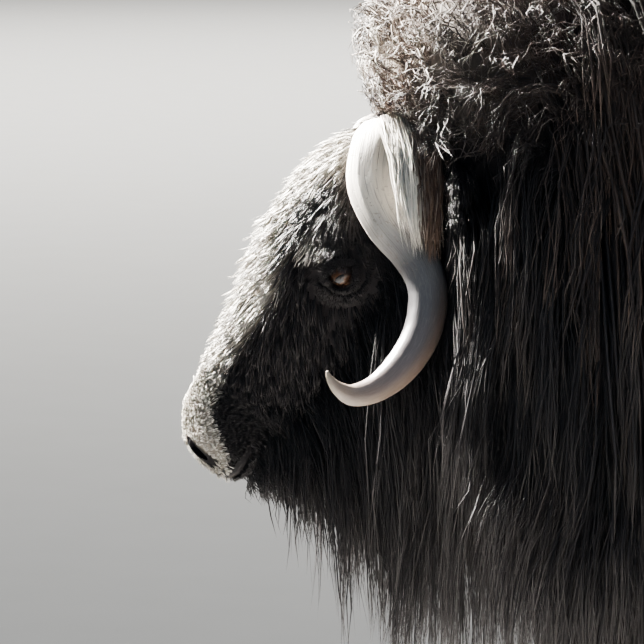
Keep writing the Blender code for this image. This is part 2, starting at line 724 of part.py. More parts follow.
def mane_locks(surface, luck):
    """The mane: thick woolly locks that stand over the poll, and long ones down both sides."""
    rows = trunk_rows(ROOT_SECTIONS)
    first, last = MANE_STRETCH
    made = []
    for tier, (angle, length, steps, lift, width, thickness, lean) in enumerate(MANE_ROWS):
        woolly = tier < WOOLLY_ROWS
        count = WOOLLY_COUNT if woolly else HANGING_COUNT
        for side in (-1, 1):
            for k in range(count):
                share = (k + MANE_STARTS[tier % 2]) / count
                turn = math.radians(angle + luck.uniform(-ANGLE_LUCK, ANGLE_LUCK)) * side
                root = trunk_point(rows[int(first + (last - first) * share)], turn)
                start = Vector((lean[0], -lean[1] * side, lean[2]))
                reach = length * stray(luck, LENGTH_LUCK)
                wide = width * stray(luck, WIDTH_LUCK)
                over = lift * (1.0 if k % 2 else MANE_LIFT)
                margin = wide * LOCK_MARGIN
                front = WOOLLY_FRONT if woolly else HEAD_LINE[-1][0] + margin
                edges = (front, NECK_CUT - margin)
                path, facing = comb(surface, root, start, reach, steps, over, edges,
                                    WOOLLY_HANG if woolly else 1.0)
                made.append(lock(path, facing, wide, thickness))
    return made


def beard_locks(surface, luck):
    """The beard and cheeks, from a short fringe on the chin to long locks behind the jaw."""
    made = []
    for angle, first, last in BEARD_ROWS:
        count = round((last - first) / BEARD_SPACING)
        turn = math.radians(angle)
        for side in (-1, 1) if angle < 180 else (1,):
            for k in range(count + 1):
                back = first + (last - first) * k / count
                _, up, down, half = smooth(HEAD_STATIONS, [back])[0]
                height = (up if angle < 90 else down) * math.cos(turn)
                root = on_head(back, height, half * math.sin(turn) * side)
                grown = min(1.0, max(0.0, (back - BEARD_START) / BEARD_FADE))
                reach = blend(BEARD_LENGTH, grown ** BEARD_GROWTH) * stray(luck, LENGTH_LUCK)
                wide = blend(BEARD_WIDTH, grown)
                start = Vector((0.12, 0.25 * side if angle < 180 else 0, 0))
                edges = (-FAR_SIDE, HEAD_LINE[-1][0] - wide * LOCK_MARGIN)
                steps = 3 if grown < SHORT_BEARD else 4
                path, facing = comb(surface, root, start, reach, steps,
                                    BEARD_LIFT[k % 2], edges, 1.0, BEARD_DEPTH)
                made.append(lock(path, facing, wide, BEARD_THICKNESS))
    return made


def forelock(surface, luck):
    """A few short locks that fall over the forehead from between the horns."""
    made = []
    for back, across in FORELOCK:
        _, up, _, _ = smooth(HEAD_STATIONS, [back])[0]
        start = -HEAD_BACK + Vector((0, 4 * across, 0))
        path, facing = comb(surface, on_head(back, up, across), start,
                            FORELOCK_LENGTH * stray(luck, LENGTH_LUCK), 3, FORELOCK_LIFT,
                            (-FAR_SIDE, FAR_SIDE), 0.3, BEARD_DEPTH)
        made.append(lock(path, facing, FORELOCK_WIDTH, FORELOCK_THICKNESS))
    return made


# Putting the animal together

def half_space(low, high, side=0):
    """A box from one cut to the next, on one side of the middle or across both."""
    low_y, high_y = -FAR_SIDE, FAR_SIDE
    if side < 0:
        high_y = -GAP / 2
    if side > 0:
        low_y = GAP / 2
    front, rear = low + GAP / 2, high - GAP / 2
    outline = ((front, FAR_BELOW), (rear, FAR_BELOW), (rear, FAR_ABOVE), (front, FAR_ABOVE))
    return prism("region", outline, low_y, high_y)


def head_region():
    """What lies in front of the line that parts head from neck."""
    line = [(x - GAP / 2, z - GAP / 2) for x, z in HEAD_LINE]
    ahead = [(FAR_AHEAD, FAR_BELOW), (FAR_AHEAD, FAR_ABOVE), (line[0][0], FAR_ABOVE)]
    return prism("region", ahead + line[:-1] + [(line[-1][0], FAR_BELOW)], -FAR_SIDE, FAR_SIDE)


def neck_region():
    """What lies behind that line, as far as the shoulders."""
    line = [(x + GAP / 2, z + GAP / 2) for x, z in HEAD_LINE]
    rear = NECK_CUT - GAP / 2
    behind = [(rear, FAR_BELOW), (rear, FAR_ABOVE), (line[0][0], FAR_ABOVE)]
    return prism("region", behind + line[:-1] + [(line[-1][0], FAR_BELOW)], -FAR_SIDE, FAR_SIDE)


def clearances():
    """Horns and ears a little swollen, to cut the sockets that they sit in."""
    made = []
    for side in (-1, 1):
        made.append(grow(horn("horn_room", side)))
        made.append(grow(ear("ear_room", side)))
    return made


def build_head(surface, luck):
    core = head_core()
    eyes = [eye_centre(side) for side in (-1, 1)]
    lids = [ball("lid", eye, EYE_RADIUS + LID_THICKNESS, 14, 9, eye_axis(side))
            for eye, side in zip(eyes, (-1, 1))]
    combine(core, lids + beard_locks(surface, luck) + forelock(surface, luck), "UNION")
    cutters = [ball("socket", eye, EYE_RADIUS + 2 * GAP, 14, 8, eye_axis(side))
               for eye, side in zip(eyes, (-1, 1))]
    cutters += [lid_opening(side) for side in (-1, 1)]
    cutters += [nostril_cutter(side) for side in (-1, 1)]
    combine(core, cutters + [mouth_cutter()] + clearances(), "DIFFERENCE")
    combine(core, [head_region()], "INTERSECT")
    paint(keep_largest(core), "face_fur", FUR_DARK, 0.85)
    for word, eye, side in zip(("left", "right"), eyes, (-1, 1)):
        made = ball(f"eye_{word}", eye, EYE_RADIUS, 14, 8, eye_axis(side))
        paint(made, "eye", EYE_BROWN, 0.08)


def build_neck(surface, luck):
    core = trunk_core("neck")
    combine(core, mane_locks(surface, luck), "UNION")
    combine(core, clearances(), "DIFFERENCE")
    combine(core, [neck_region()], "INTERSECT")
    paint(keep_largest(core), "mane_fur", FUR_DARK, 0.88)


def build_torso(surface, luck):
    """Shoulders, flanks and haunches, each left and right, with the legs' sockets below."""
    lengths = (("shoulder", NECK_CUT, SHOULDER_CUT, "front"), ("flank", SHOULDER_CUT, FLANK_CUT, ""),
               ("haunch", FLANK_CUT, TAIL_END, "hind"))
    for name, low, high, end in lengths:
        legs = [(foot, stations) for its, _, _, foot, stations in leg_places() if its == end]
        for word, side in (("left", 1), ("right", -1)):
            core = trunk_core(f"{name}_{word}")
            stumps = [leg("stump", foot, [(0.0, LEG_TOP + 0.12, *stations[0][2:]),
                                          (0.0, LEG_TOP - 0.02, *stations[0][2:])])
                      for foot, stations in legs]
            locks = torso_locks(surface, luck, low, min(high, RUMP), side)
            if name == "haunch":
                locks += rump_locks(surface, luck, side)
            combine(core, locks + stumps, "UNION")
            rooms = [grow(leg("room", foot, stations)) for foot, stations in legs]
            if end == "hind":
                rooms.append(grow(tail("room")))
            if rooms:
                combine(core, rooms, "DIFFERENCE")
            combine(core, [half_space(low, high, -side)], "INTERSECT")
            fur = FUR_SADDLE if name == "flank" else FUR_BROWN
            paint(keep_largest(core), f"{name}_fur", fur, 0.9)


def tail(name):
    path = [Vector(p) for p in TAIL_LINE]
    facing = [Vector((1, 0, 0.4)).normalized()] * len(path)
    return sweep(name, path, TAIL_RADII, [r * 0.7 for r in TAIL_RADII], oval(12), facing)


def build_legs():
    for end, word, _, foot, stations in leg_places():
        paint(leg(f"leg_{end}_{word}", foot, stations), "leg_fur", FUR_LEG, 0.85)
        paint(hoof(f"hoof_{end}_{word}", foot), "hoof", HOOF_GREY, 0.55)


def settle():
    """Moves everything so that the origin is on the floor, midway along and across."""
    nodes = [item for item in bpy.data.objects if item.type == "MESH"]
    points = np.array([v.co for item in nodes for v in item.data.vertices])
    low, high = points.min(axis=0), points.max(axis=0)
    shift = Vector((-(low[0] + high[0]) / 2, -(low[1] + high[1]) / 2, -low[2]))
    for item in nodes:
        item.location = shift


def main():
    clear_scene()
    luck = random.Random(SEED)
    trunk, head = trunk_core(), head_core()
    surface = surface_of(trunk, head)
    face = surface_of(head)
    for guide in (trunk, head):
        bpy.data.objects.remove(guide)
    build_head(face, luck)
    for word, side in (("left", -1), ("right", 1)):
        paint(horn(f"horn_{word}", side), "horn", HORN_TAN, 0.45)
        paint(ear(f"ear_{word}", side), "ear_fur", FUR_BROWN, 0.85)
    build_neck(surface, luck)
    build_torso(surface, luck)
    paint(tail("tail"), "tail_fur", FUR_BROWN, 0.9)
    build_legs()
    settle()


main()
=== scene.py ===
"""A life-size muskox cow: her skin, hair, eyes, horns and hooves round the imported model.

Metres, +Z up, the head at -X and her left side at -Y. Every form is laid out round the
photographed head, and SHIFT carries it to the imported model's origin.
"""

import math
from collections import namedtuple

import bmesh
import bpy
import numpy as np
from mathutils import Matrix, Vector, noise
from mathutils.bvhtree import BVHTree


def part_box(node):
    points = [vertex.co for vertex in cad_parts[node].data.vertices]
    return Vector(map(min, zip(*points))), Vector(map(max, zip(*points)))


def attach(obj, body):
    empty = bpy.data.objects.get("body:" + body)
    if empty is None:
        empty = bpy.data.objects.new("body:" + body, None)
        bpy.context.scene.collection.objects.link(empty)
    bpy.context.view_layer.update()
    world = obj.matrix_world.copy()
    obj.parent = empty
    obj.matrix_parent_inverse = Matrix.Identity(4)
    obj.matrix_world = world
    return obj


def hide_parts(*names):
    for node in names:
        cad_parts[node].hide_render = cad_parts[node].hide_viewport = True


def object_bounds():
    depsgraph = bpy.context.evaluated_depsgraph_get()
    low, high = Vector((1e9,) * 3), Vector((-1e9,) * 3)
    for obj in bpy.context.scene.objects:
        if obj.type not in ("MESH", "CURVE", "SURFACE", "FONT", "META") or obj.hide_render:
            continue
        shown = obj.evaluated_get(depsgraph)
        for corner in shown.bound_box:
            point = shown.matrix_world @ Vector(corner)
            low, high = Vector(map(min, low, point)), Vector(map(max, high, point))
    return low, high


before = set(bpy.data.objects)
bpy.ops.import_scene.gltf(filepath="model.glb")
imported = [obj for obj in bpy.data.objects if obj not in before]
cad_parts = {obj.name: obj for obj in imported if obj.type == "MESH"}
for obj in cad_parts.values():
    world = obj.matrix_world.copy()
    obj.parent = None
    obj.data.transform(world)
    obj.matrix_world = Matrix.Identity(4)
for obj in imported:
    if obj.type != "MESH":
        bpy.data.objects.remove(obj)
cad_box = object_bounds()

# The head is a straight taper. Its axis starts in the muzzle and climbs back to the poll.
MUZZLE = Vector((-0.983, 0.0, 0.6074))
HEAD_PITCH = math.radians(49)
HEAD_BACK = Vector((math.cos(HEAD_PITCH), 0, math.sin(HEAD_PITCH)))
HEAD_CROWN = Vector((-math.sin(HEAD_PITCH), 0, math.cos(HEAD_PITCH)))
# Along the axis: distance back, height of the forehead side, depth of the jaw side, half width.
HEAD_STATIONS = (
    (-0.0230, 0.016, 0.016, 0.022),
    (-0.0190, 0.030, 0.033, 0.038),
    (-0.0080, 0.045, 0.046, 0.050),
    (0.0120, 0.062, 0.055, 0.057),
    (0.0460, 0.076, 0.063, 0.060),
    (0.0900, 0.090, 0.071, 0.062),
    (0.1500, 0.104, 0.084, 0.070),
    (0.2000, 0.118, 0.094, 0.082),
    (0.2480, 0.140, 0.102, 0.099),
    (0.2930, 0.150, 0.108, 0.112),
    (0.3400, 0.155, 0.114, 0.118),
    (0.3900, 0.153, 0.118, 0.120),
    (0.4400, 0.131, 0.116, 0.122),
    (0.4800, 0.118, 0.112, 0.126),
    (0.5300, 0.112, 0.110, 0.130),
)
HEAD_LENGTH = 0.553
HEAD_RINGS, HEAD_SIDES = 150, 104
HEAD_CROWDING, HEAD_SQUARENESS = 1.25, 2.35
NOSE_NARROWING = 0.24
# Swellings and hollows: place, height of the swelling, spread.
HEAD_FORMS = (
    ((0.318, 0.072, 0.104), 0.010, 0.034),
    ((0.293, 0.033, 0.112), 0.009, 0.036),
    ((0.236, 0.030, 0.092), -0.007, 0.036),
    ((0.350, -0.050, 0.120), 0.010, 0.060),
    ((0.004, 0.022, 0.046), 0.006, 0.020),
    ((0.010, -0.014, 0.052), 0.005, 0.024),
    ((0.012, -0.050, 0.020), 0.004, 0.022),
)
# How far the skin lies inside the solids: on the face, at the muzzle's tip and on the trunk.
# Under the crest's wool it stands higher.
FACE_INSET, MUZZLE_INSET, TRUNK_INSET, CREST_INSET = 0.010, 0.0015, 0.028, 0.006

# The eye: distance back, height above the axis, distance from the middle, and its sizes.
EYE_PLACE = (0.2930, 0.0326, 0.1000)
EYE_RADIUS = 0.0195
LID_THICKNESS = 0.0038
LID_OPENING = (0.0365, 0.0255)
EYE_LOOK = (-0.42, -0.10)
LID_PINCH = 0.35

MOUTH_BACK, MOUTH_HEIGHT, MOUTH_RISE = 0.080, -0.031, 0.10
MOUTH_OPEN, LIP_DEPTH = 0.0013, 0.006
MOUTH_PLACES, MOUTH_FRONT, MOUTH_OUTSIDE, MOUTH_MIDDLE = 41, 0.020, 0.012, 0.045
MOUTH_SQUARENESS = (0.70, 0.55)
NOSTRIL = (
    (-0.014, 0.028, 0.030),
    (-0.011, 0.020, 0.038),
    (-0.009, 0.011, 0.043),
    (-0.008, 0.001, 0.045),
    (-0.008, -0.009, 0.045),
)
NOSTRIL_RADII = (0.0070, 0.0085, 0.0078, 0.0058, 0.0020)

# A horn's centre line, from the root in the skull to the tip, with y as the distance from
# the middle, and its half sizes along the head and across it.
HORN_LINE = (
    (-0.7660, 0.030, 1.0190),
    (-0.7690, 0.070, 1.0060),
    (-0.7735, 0.103, 0.9640),
    (-0.7580, 0.134, 0.9210),
    (-0.7310, 0.157, 0.8850),
    (-0.7150, 0.174, 0.8560),
    (-0.7100, 0.190, 0.8260),
    (-0.7190, 0.213, 0.7855),
    (-0.7430, 0.236, 0.7500),
    (-0.7740, 0.256, 0.7260),
    (-0.8030, 0.270, 0.7190),
    (-0.8210, 0.279, 0.7280),
    (-0.8320, 0.284, 0.7410),
    (-0.8360, 0.285, 0.7510),
)
HORN_ALONG = (0.030, 0.036, 0.037, 0.033, 0.0280, 0.0255, 0.0248, 0.0236, 0.0214, 0.0172,
              0.0136, 0.0090, 0.0047, 0.0016)
HORN_ACROSS = (0.022, 0.024, 0.024, 0.022, 0.0210, 0.0208, 0.0210, 0.0205, 0.0190, 0.0160,
               0.0130, 0.0088, 0.0047, 0.0016)
HORN_RINGS, HORN_SIDES = 150, 56

# An ear, with y as the distance from the middle: root, tip, half widths from root to tip.
EAR_ROOT = Vector((-0.6640, 0.105, 0.9900))
EAR_TIP = Vector((-0.6780, 0.212, 0.9200))
EAR_WIDTHS = (0.015, 0.022, 0.034, 0.033, 0.021, 0.006)
EAR_WALL = 0.0045
EAR_OPENS = Vector((-0.75, 0.25, -0.35))
EAR_DEPTH = (0.55, 0.65)
EAR_FOLD = 100
CUP_START, CUP_FADE = 0.12, 0.25

# The trunk's core: middle x and z, tilt of the section, height above the middle, depth
# below it, half width. It runs from the poll to the rump.
TRUNK_STATIONS = (
    (-0.6700, 0.950, 38, 0.130, 0.155, 0.128),
    (-0.6250, 0.930, 31, 0.258, 0.255, 0.175),
    (-0.5200, 0.900, 13, 0.345, 0.350, 0.240),
    (-0.3500, 0.865, 2, 0.370, 0.385, 0.285),
    (-0.1000, 0.820, 0, 0.365, 0.380, 0.305),
    (0.1500, 0.800, 0, 0.350, 0.365, 0.315),
    (0.4200, 0.800, 0, 0.345, 0.350, 0.310),
    (0.6300, 0.805, 0, 0.320, 0.310, 0.280),
    (0.7900, 0.810, 0, 0.255, 0.250, 0.225),
    (0.8800, 0.810, 0, 0.160, 0.180, 0.150),
    (0.9150, 0.805, 0, 0.060, 0.070, 0.060),
)
TRUNK_RINGS, TRUNK_SIDES = 120, 110
TRUNK_SQUARENESS = 2.3

# Legs: x and y of the foot, then stations of x shift, height, half length and half width.
LEG_TOP = 0.430
FRONT_FOOT = (-0.400, 0.165)
HIND_FOOT = (0.640, 0.160)
STEP = 0.060
FRONT_LEG = (
    (0.010, LEG_TOP + 0.120, 0.070, 0.056),
    (0.010, LEG_TOP, 0.066, 0.052),
    (0.004, 0.360, 0.052, 0.046),
    (-0.004, 0.300, 0.046, 0.042),
    (-0.002, 0.245, 0.034, 0.034),
    (0.000, 0.180, 0.031, 0.031),
    (0.000, 0.125, 0.039, 0.037),
    (-0.006, 0.092, 0.038, 0.036),
    (-0.016, 0.062, 0.043, 0.043),
    (-0.018, 0.050, 0.040, 0.040),
)
HIND_LEG = (
    (-0.014, LEG_TOP + 0.120, 0.078, 0.056),
    (-0.010, LEG_TOP, 0.074, 0.052),
    (0.030, 0.375, 0.056, 0.046),
    (0.044, 0.330, 0.046, 0.040),
    (0.034, 0.265, 0.036, 0.033),
    (0.022, 0.190, 0.032, 0.031),
    (0.014, 0.128, 0.038, 0.036),
    (0.000, 0.092, 0.037, 0.035),
    (-0.014, 0.060, 0.041, 0.041),
    (-0.016, 0.050, 0.038, 0.038),
)
LEG_RINGS, LEG_SIDES = 44, 36
LEG_INSET = 0.004
HOOF_HEIGHT, HOOF_LENGTH, HOOF_WIDTH, HOOF_AHEAD, TOE_CLEFT = 0.058, 0.120, 0.112, 0.024, 0.006
# The hoof's wall: height, share of the size, shift back.
HOOF_LEVELS = (
    (0.0000, 0.970, 0.0000),
    (0.0030, 1.000, 0.0002),
    (0.0140, 1.020, 0.0010),
    (0.0300, 0.950, 0.0050),
    (0.0480, 0.840, 0.0110),
    (HOOF_HEIGHT, 0.760, 0.0140),
    (HOOF_HEIGHT + 0.004, 0.640, 0.0150),
)
HOOF_RINGS, HOOF_SIDES, HOOF_SQUARENESS = 18, 64, 0.8
CLAW_BACK, CLAW_APART, CLAW_HEIGHT, CLAW_RADIUS = 0.030, 0.024, 0.042, 0.014
CLEFT_END = 0.012

TAIL_LINE = ((0.885, 0.0, 0.945), (0.925, 0.0, 0.925), (0.950, 0.0, 0.880), (0.958, 0.0, 0.825),
             (0.960, 0.0, 0.790))
TAIL_RADII = (0.026, 0.026, 0.023, 0.017, 0.006)

# The photograph's camera: height above the level, distance, width of the frame where the
# eye is, and the eye's place in the 644-pixel frame.
CAMERA_RISE = math.radians(8)
CAMERA_AWAY = 4.5
FRAME_WIDTH = 0.818
FRAME_PIXELS = 644
EYE_PIXEL = (343, 272)
SENSOR = 36.0

SEED = 11
PATCH = 0.003


# Shapes

def blend(ends, share):
    return ends[0] + (ends[1] - ends[0]) * share


def smooth(rows, places):
    """Columns of rows read at places of the first column, along a smooth curve."""
    rows = np.array(rows, float)
    places = np.clip(np.array(places, float), rows[0, 0], rows[-1, 0])
    slopes = np.gradient(rows, rows[:, 0], axis=0)
    index = np.clip(np.searchsorted(rows[:, 0], places, "right") - 1, 0, len(rows) - 2)
    span = (rows[index + 1, 0] - rows[index, 0])[:, None]
    t = (places - rows[index, 0])[:, None] / span
    start, end = rows[index], rows[index + 1]
    return ((2 * t**3 - 3 * t**2 + 1) * start + (t**3 - 2 * t**2 + t) * span * slopes[index]
            + (3 * t**2 - 2 * t**3) * end + (t**3 - t**2) * span * slopes[index + 1])


def numbered(rows):
    """Rows with their number put first, so that smooth() can read between them."""
    return [(index, *row) for index, row in enumerate(rows)]


def fade(value, start, end):
    """0 before start, 1 after end, and smooth between them. It works on arrays too."""
    t = np.clip((value - start) / (end - start), 0, 1)
    return t * t * (3 - 2 * t)


def oval(count):
    """Points of a unit circle."""
    return [(math.cos(2 * math.pi * k / count), math.sin(2 * math.pi * k / count))
            for k in range(count)]


def mirrored(place, side):
    """A place or direction on one side of the middle: -1 is the animal's left, 1 its right."""
    return Vector((place[0], place[1] * side, place[2]))


def link(name, shape):
    """A new object in the scene, from a bmesh."""
    mesh = bpy.data.meshes.new(name)
    shape.to_mesh(mesh)
    shape.free()
    made = bpy.data.objects.new(name, mesh)
    bpy.context.scene.collection.objects.link(made)
    return made


def wrap(name, rings, vector=None):
    """A sheet wrapped round rings of points, sewn along its seam and closed at its ends.

    Where vector names an attribute, it holds each point's way round as a circle and its
    share of the length.
    """
    rows, sides = len(rings), len(rings[0])
    shape = bmesh.new()
    layer = shape.verts.layers.float_vector.new(vector) if vector else None
    bmesh.ops.create_grid(shape, x_segments=sides, y_segments=rows - 1, size=1)
    places = sorted(shape.verts, key=lambda v: (round(v.co.y, 5), round(v.co.x, 5)))
    for k, vert in enumerate(places):
        row, turn = divmod(k, sides + 1)
        vert.co = rings[row][turn % sides]
        if layer:
            angle = 2 * math.pi * turn / sides
            vert[layer] = (math.cos(angle), math.sin(angle), row / (rows - 1))
    bmesh.ops.remove_doubles(shape, verts=shape.verts, dist=1e-6)
    bmesh.ops.holes_fill(shape, edges=[e for e in shape.edges if e.is_boundary], sides=0)
    bmesh.ops.triangulate(shape, faces=[f for f in shape.faces if len(f.verts) > 4])
    bmesh.ops.recalc_face_normals(shape, faces=shape.faces)
    return link(name, shape)


def sweep(name, path, wides, thicks, sides, facing, vector=None):
    """A solid swept along a path. Its section's second axis leans to facing at each point."""
    rings = []
    for k, place in enumerate(path):
        ahead = (path[min(k + 1, len(path) - 1)] - path[max(k - 1, 0)]).normalized()
        side = ahead.cross(facing).normalized()
        out = side.cross(ahead)
        rings.append([place + side * a * wides[k] + out * b * thicks[k] for a, b in oval(sides)])
    return wrap(name, rings, vector)


def ball(name, centre, radius, sides, rings, axis=Vector((0, 0, 1))):
    shape = bmesh.new()
    bmesh.ops.create_uvsphere(shape, u_segments=sides, v_segments=rings, radius=radius)
    turn = axis.to_track_quat("Z", "Y").to_matrix().to_4x4()
    bmesh.ops.transform(shape, matrix=turn, verts=shape.verts)
    bmesh.ops.translate(shape, vec=centre, verts=shape.verts)
    return link(name, shape)


def combine(target, others, operation):
    """Applies one Boolean of target with a list of objects, which are then removed."""
    group = bpy.data.collections.new("operands")
    bpy.context.scene.collection.children.link(group)
    for other in others:
        for owner in list(other.users_collection):
            owner.objects.unlink(other)
        group.objects.link(other)
    cut = target.modifiers.new("combine", "BOOLEAN")
    cut.operation = operation
    cut.solver = "MANIFOLD"
    cut.operand_type = "COLLECTION"
    cut.collection = group
    bpy.context.view_layer.update()
    graph = bpy.context.evaluated_depsgraph_get()
    made = bpy.data.meshes.new_from_object(target.evaluated_get(graph))
    target.modifiers.clear()
    target.data = made
    for other in others:
        bpy.data.objects.remove(other)
    bpy.data.collections.remove(group)
    return target


def points_of(item):
    """An object's points, as an array."""
    points = np.empty(len(item.data.vertices) * 3)
    item.data.vertices.foreach_get("co", points)
    return points.reshape(-1, 3)


def surface_of(item):
    shape = bmesh.new()
    shape.from_mesh(item.data)
    tree = BVHTree.FromBMesh(shape)
    shape.free()
    return tree


def note(item, name, values):
    """Keeps a number for each point of a piece, which its finish reads."""
    layer = item.data.attributes.new(name, "FLOAT", "POINT")
    layer.data.foreach_set("value", np.asarray(values, np.float32))


# The head

def on_head(back, height, across):
    """A place in the head's own frame, as a point."""
    return MUZZLE + HEAD_BACK * back + HEAD_CROWN * height + Vector((0, across, 0))


def head_place(points):
    """Points in the head's own frame: distance back, height and distance across."""
    away = np.asarray(points) - np.array(MUZZLE)
    return away @ np.array(HEAD_BACK), away @ np.array(HEAD_CROWN), away[..., 1]


def head_point(row, angle, inset):
    """A place on one section of the head, with its swellings and hollows."""
    back, up, down, half = row
    sine, cosine = math.sin(angle), math.cos(angle)
    across = math.copysign(abs(sine) ** (2 / HEAD_SQUARENESS), sine)
    height = math.copysign(abs(cosine) ** (2 / HEAD_SQUARENESS), cosine)
    narrow = 1 - NOSE_NARROWING * max(height, 0) ** 2
    side, tall = half * across * narrow, (up if height > 0 else down) * height
    for place, swell, spread in HEAD_FORMS:
        away = math.dist((back, tall, abs(side)), place) / spread
        raised = swell * math.exp(-away * away)
        side += raised * across
        tall += raised * height * 0.5
    return on_head(back, tall - inset * height, side - inset * across)


def head_rows(count):
    places = np.linspace(0, 1, count) ** HEAD_CROWDING
    first, last = HEAD_STATIONS[0][0], HEAD_STATIONS[-1][0]
    return smooth(HEAD_STATIONS, first + (last - first) * places)


def eye_centre(side):
    return on_head(EYE_PLACE[0], EYE_PLACE[1], EYE_PLACE[2] * side)


def eye_axes(side):
    """The eye's axes: the way it looks, back along the lids, and up across them."""
    back, up = EYE_LOOK
    axis = (HEAD_BACK * back + Vector((0, side, up))).normalized()
    along = (HEAD_BACK - axis * HEAD_BACK.dot(axis)).normalized()
    tall = axis.cross(along).normalized() * -side
    return axis, along, tall


SHIFT = sum(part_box("eye_left"), Vector()) / 2 - eye_centre(-1)


def settled(item):
    """Moves a finished piece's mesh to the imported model's place."""
    item.data.transform(Matrix.Translation(SHIFT))
    return item


# How far round the eye the skin is shaped, how far it sinks between the lids, and the lids'
# gap from the eyeball.
LID_REACH, LID_SINK, LID_GAP = 0.050, 0.0055, 0.0004


def round_lids(shape, side):
    """Wraps the skin round the eyeball as two lids with a crease, and sinks it between them."""
    centre = eye_centre(side)
    axis, along, tall = eye_axes(side)
    half_long, half_tall = LID_OPENING[0] / 2, LID_OPENING[1] / 2
    for vert in shape.verts:
        away = vert.co - centre
        if away.length > LID_REACH or away.dot(axis) < 0:
            continue
        u, v, w = away.dot(along), away.dot(tall), away.dot(axis)
        pinched = half_tall * (1 - LID_PINCH * min(abs(u) / half_long, 1) ** 3)
        share = math.hypot(u / half_long, v / pinched)
        if share < 1:
            depth = EYE_RADIUS - LID_SINK * fade(share, 1.0, 0.82)
        else:
            depth = EYE_RADIUS + LID_GAP + (LID_THICKNESS - LID_GAP) * fade(share, 1.0, 1.22)
        crease = 0.0016 * math.exp(-((share - 1.62) / 0.12) ** 2) * (1.0 if v > 0 else 0.45)
        reach = math.hypot(u, v)
        held = 1 - float(fade(share, 1.45, 2.6))
        if share < 1:
            vert.co += axis * (math.sqrt(max(depth * depth - reach * reach, 0)) - w)
        elif reach < depth and held > 0:
            lid = math.sqrt(depth * depth - reach * reach) - crease
            vert.co += axis * (max(lid, w - 0.5 * crease) - w) * held


def head_skin():
    """The head, inside the solids by the face's hair, with lids round the eyes."""
    rings = []
    for row in head_rows(HEAD_RINGS):
        inset = blend((MUZZLE_INSET, FACE_INSET), float(fade(row[0], 0.01, 0.12)))
        rings.append([head_point(row, 2 * math.pi * k / HEAD_SIDES, inset)
                      for k in range(HEAD_SIDES)])
    skin = wrap("head_skin", rings)
    shape = bmesh.new()
    shape.from_mesh(skin.data)
    for reach in (0.044, 0.034):
        near = set()
        for side in (-1, 1):
            centre = eye_centre(side)
            near.update(e for e in shape.edges
                        if all((v.co - centre).length < reach for v in e.verts))
        bmesh.ops.subdivide_edges(shape, edges=list(near), cuts=1, use_grid_fill=True)
    for side in (-1, 1):
        round_lids(shape, side)
    lips(shape)
    bmesh.ops.triangulate(shape, faces=shape.faces)
    shape.to_mesh(skin.data)
    shape.free()
    return skin


def lips(shape):
    """Swells the skin a little on both sides of the mouth's line."""
    for vert in shape.verts:
        back, height, across = head_place(vert.co)
        if back > MOUTH_BACK + 0.02:
            continue
        line = MOUTH_HEIGHT + MOUTH_RISE * max(back, 0)
        near = math.exp(-((abs(height - line) - 0.0075) / 0.005) ** 2)
        vert.co += vert.normal * 0.0028 * near * float(fade(back, MOUTH_BACK + 0.015, MOUTH_BACK - 0.02))


def mouth_cutter():
    """The line of the mouth: a thin horseshoe that bites into both cheeks and the front."""
    rings = []
    for k in range(MOUTH_PLACES):
        turn = math.pi * k / (MOUTH_PLACES - 1)
        ahead = math.sin(turn) ** MOUTH_SQUARENESS[0]
        back = MOUTH_BACK * (1 - ahead) - MOUTH_FRONT * ahead
        half = smooth(HEAD_STATIONS, [max(back, -0.016)])[0][3]
        across = half * math.copysign(abs(math.cos(turn)) ** MOUTH_SQUARENESS[1], math.cos(turn))
        height = MOUTH_HEIGHT + MOUTH_RISE * max(back, 0)
        away = Vector((back - MOUTH_MIDDLE, across, 0)).normalized()
        ring = []
        for depth, lift in ((MOUTH_OUTSIDE, MOUTH_OPEN), (-LIP_DEPTH, 0), (MOUTH_OUTSIDE, -MOUTH_OPEN)):
            ring.append(on_head(back + away.x * depth, height + lift, across + away.y * depth))
        rings.append(ring)
    return wrap("mouth_cutter", rings)


def nostril_cutter(side):
    rows = [(*place, radius) for place, radius in zip(NOSTRIL, NOSTRIL_RADII)]
    rows = smooth(numbered(rows), np.linspace(0, len(rows) - 1, 16))[:, 1:]
    path = [on_head(back, height, across * side) for back, height, across, _ in rows]
    return sweep("nostril", path, rows[:, 3], rows[:, 3], 28, HEAD_CROWN)


def ear(side):
    """A leaf-shaped cup, open forward and down, with its stalk sunk in the head."""
    root, tip = mirrored(EAR_ROOT, side), mirrored(EAR_TIP, side)
    along = (tip - root).normalized()
    open_to = mirrored(EAR_OPENS, side)
    open_to = (open_to - along * open_to.dot(along)).normalized()
    wide = along.cross(open_to).normalized()
    count = 34
    halves = smooth(numbered([(w,) for w in EAR_WIDTHS]), np.linspace(0, len(EAR_WIDTHS) - 1, count))[:, 1]
    rings = []
    for k, half in enumerate(halves):
        share = k / (count - 1)
        place = root + (tip - root) * share
        cup = float(fade(share, CUP_START, CUP_START + CUP_FADE))
        wall = min(EAR_WALL, half / 2)
        thin = (half - wall) / half
        outer, inner = [], []
        for angle in np.linspace(-EAR_FOLD, EAR_FOLD, 17):
            turn = math.radians(angle)
            across, back = math.sin(turn) * half, math.cos(turn) * half * blend(EAR_DEPTH, share)
            outer.append(place + wide * across - open_to * back)
            floor = back * thin * cup - (1 - cup) * half / 2
            inner.append(place + wide * across * thin - open_to * floor)
        rings.append(outer + inner[::-1])
    return wrap("ear", rings)


# The trunk, the legs and the tail

def trunk_rows(count):
    return smooth(numbered(TRUNK_STATIONS), np.linspace(0, len(TRUNK_STATIONS) - 1, count))


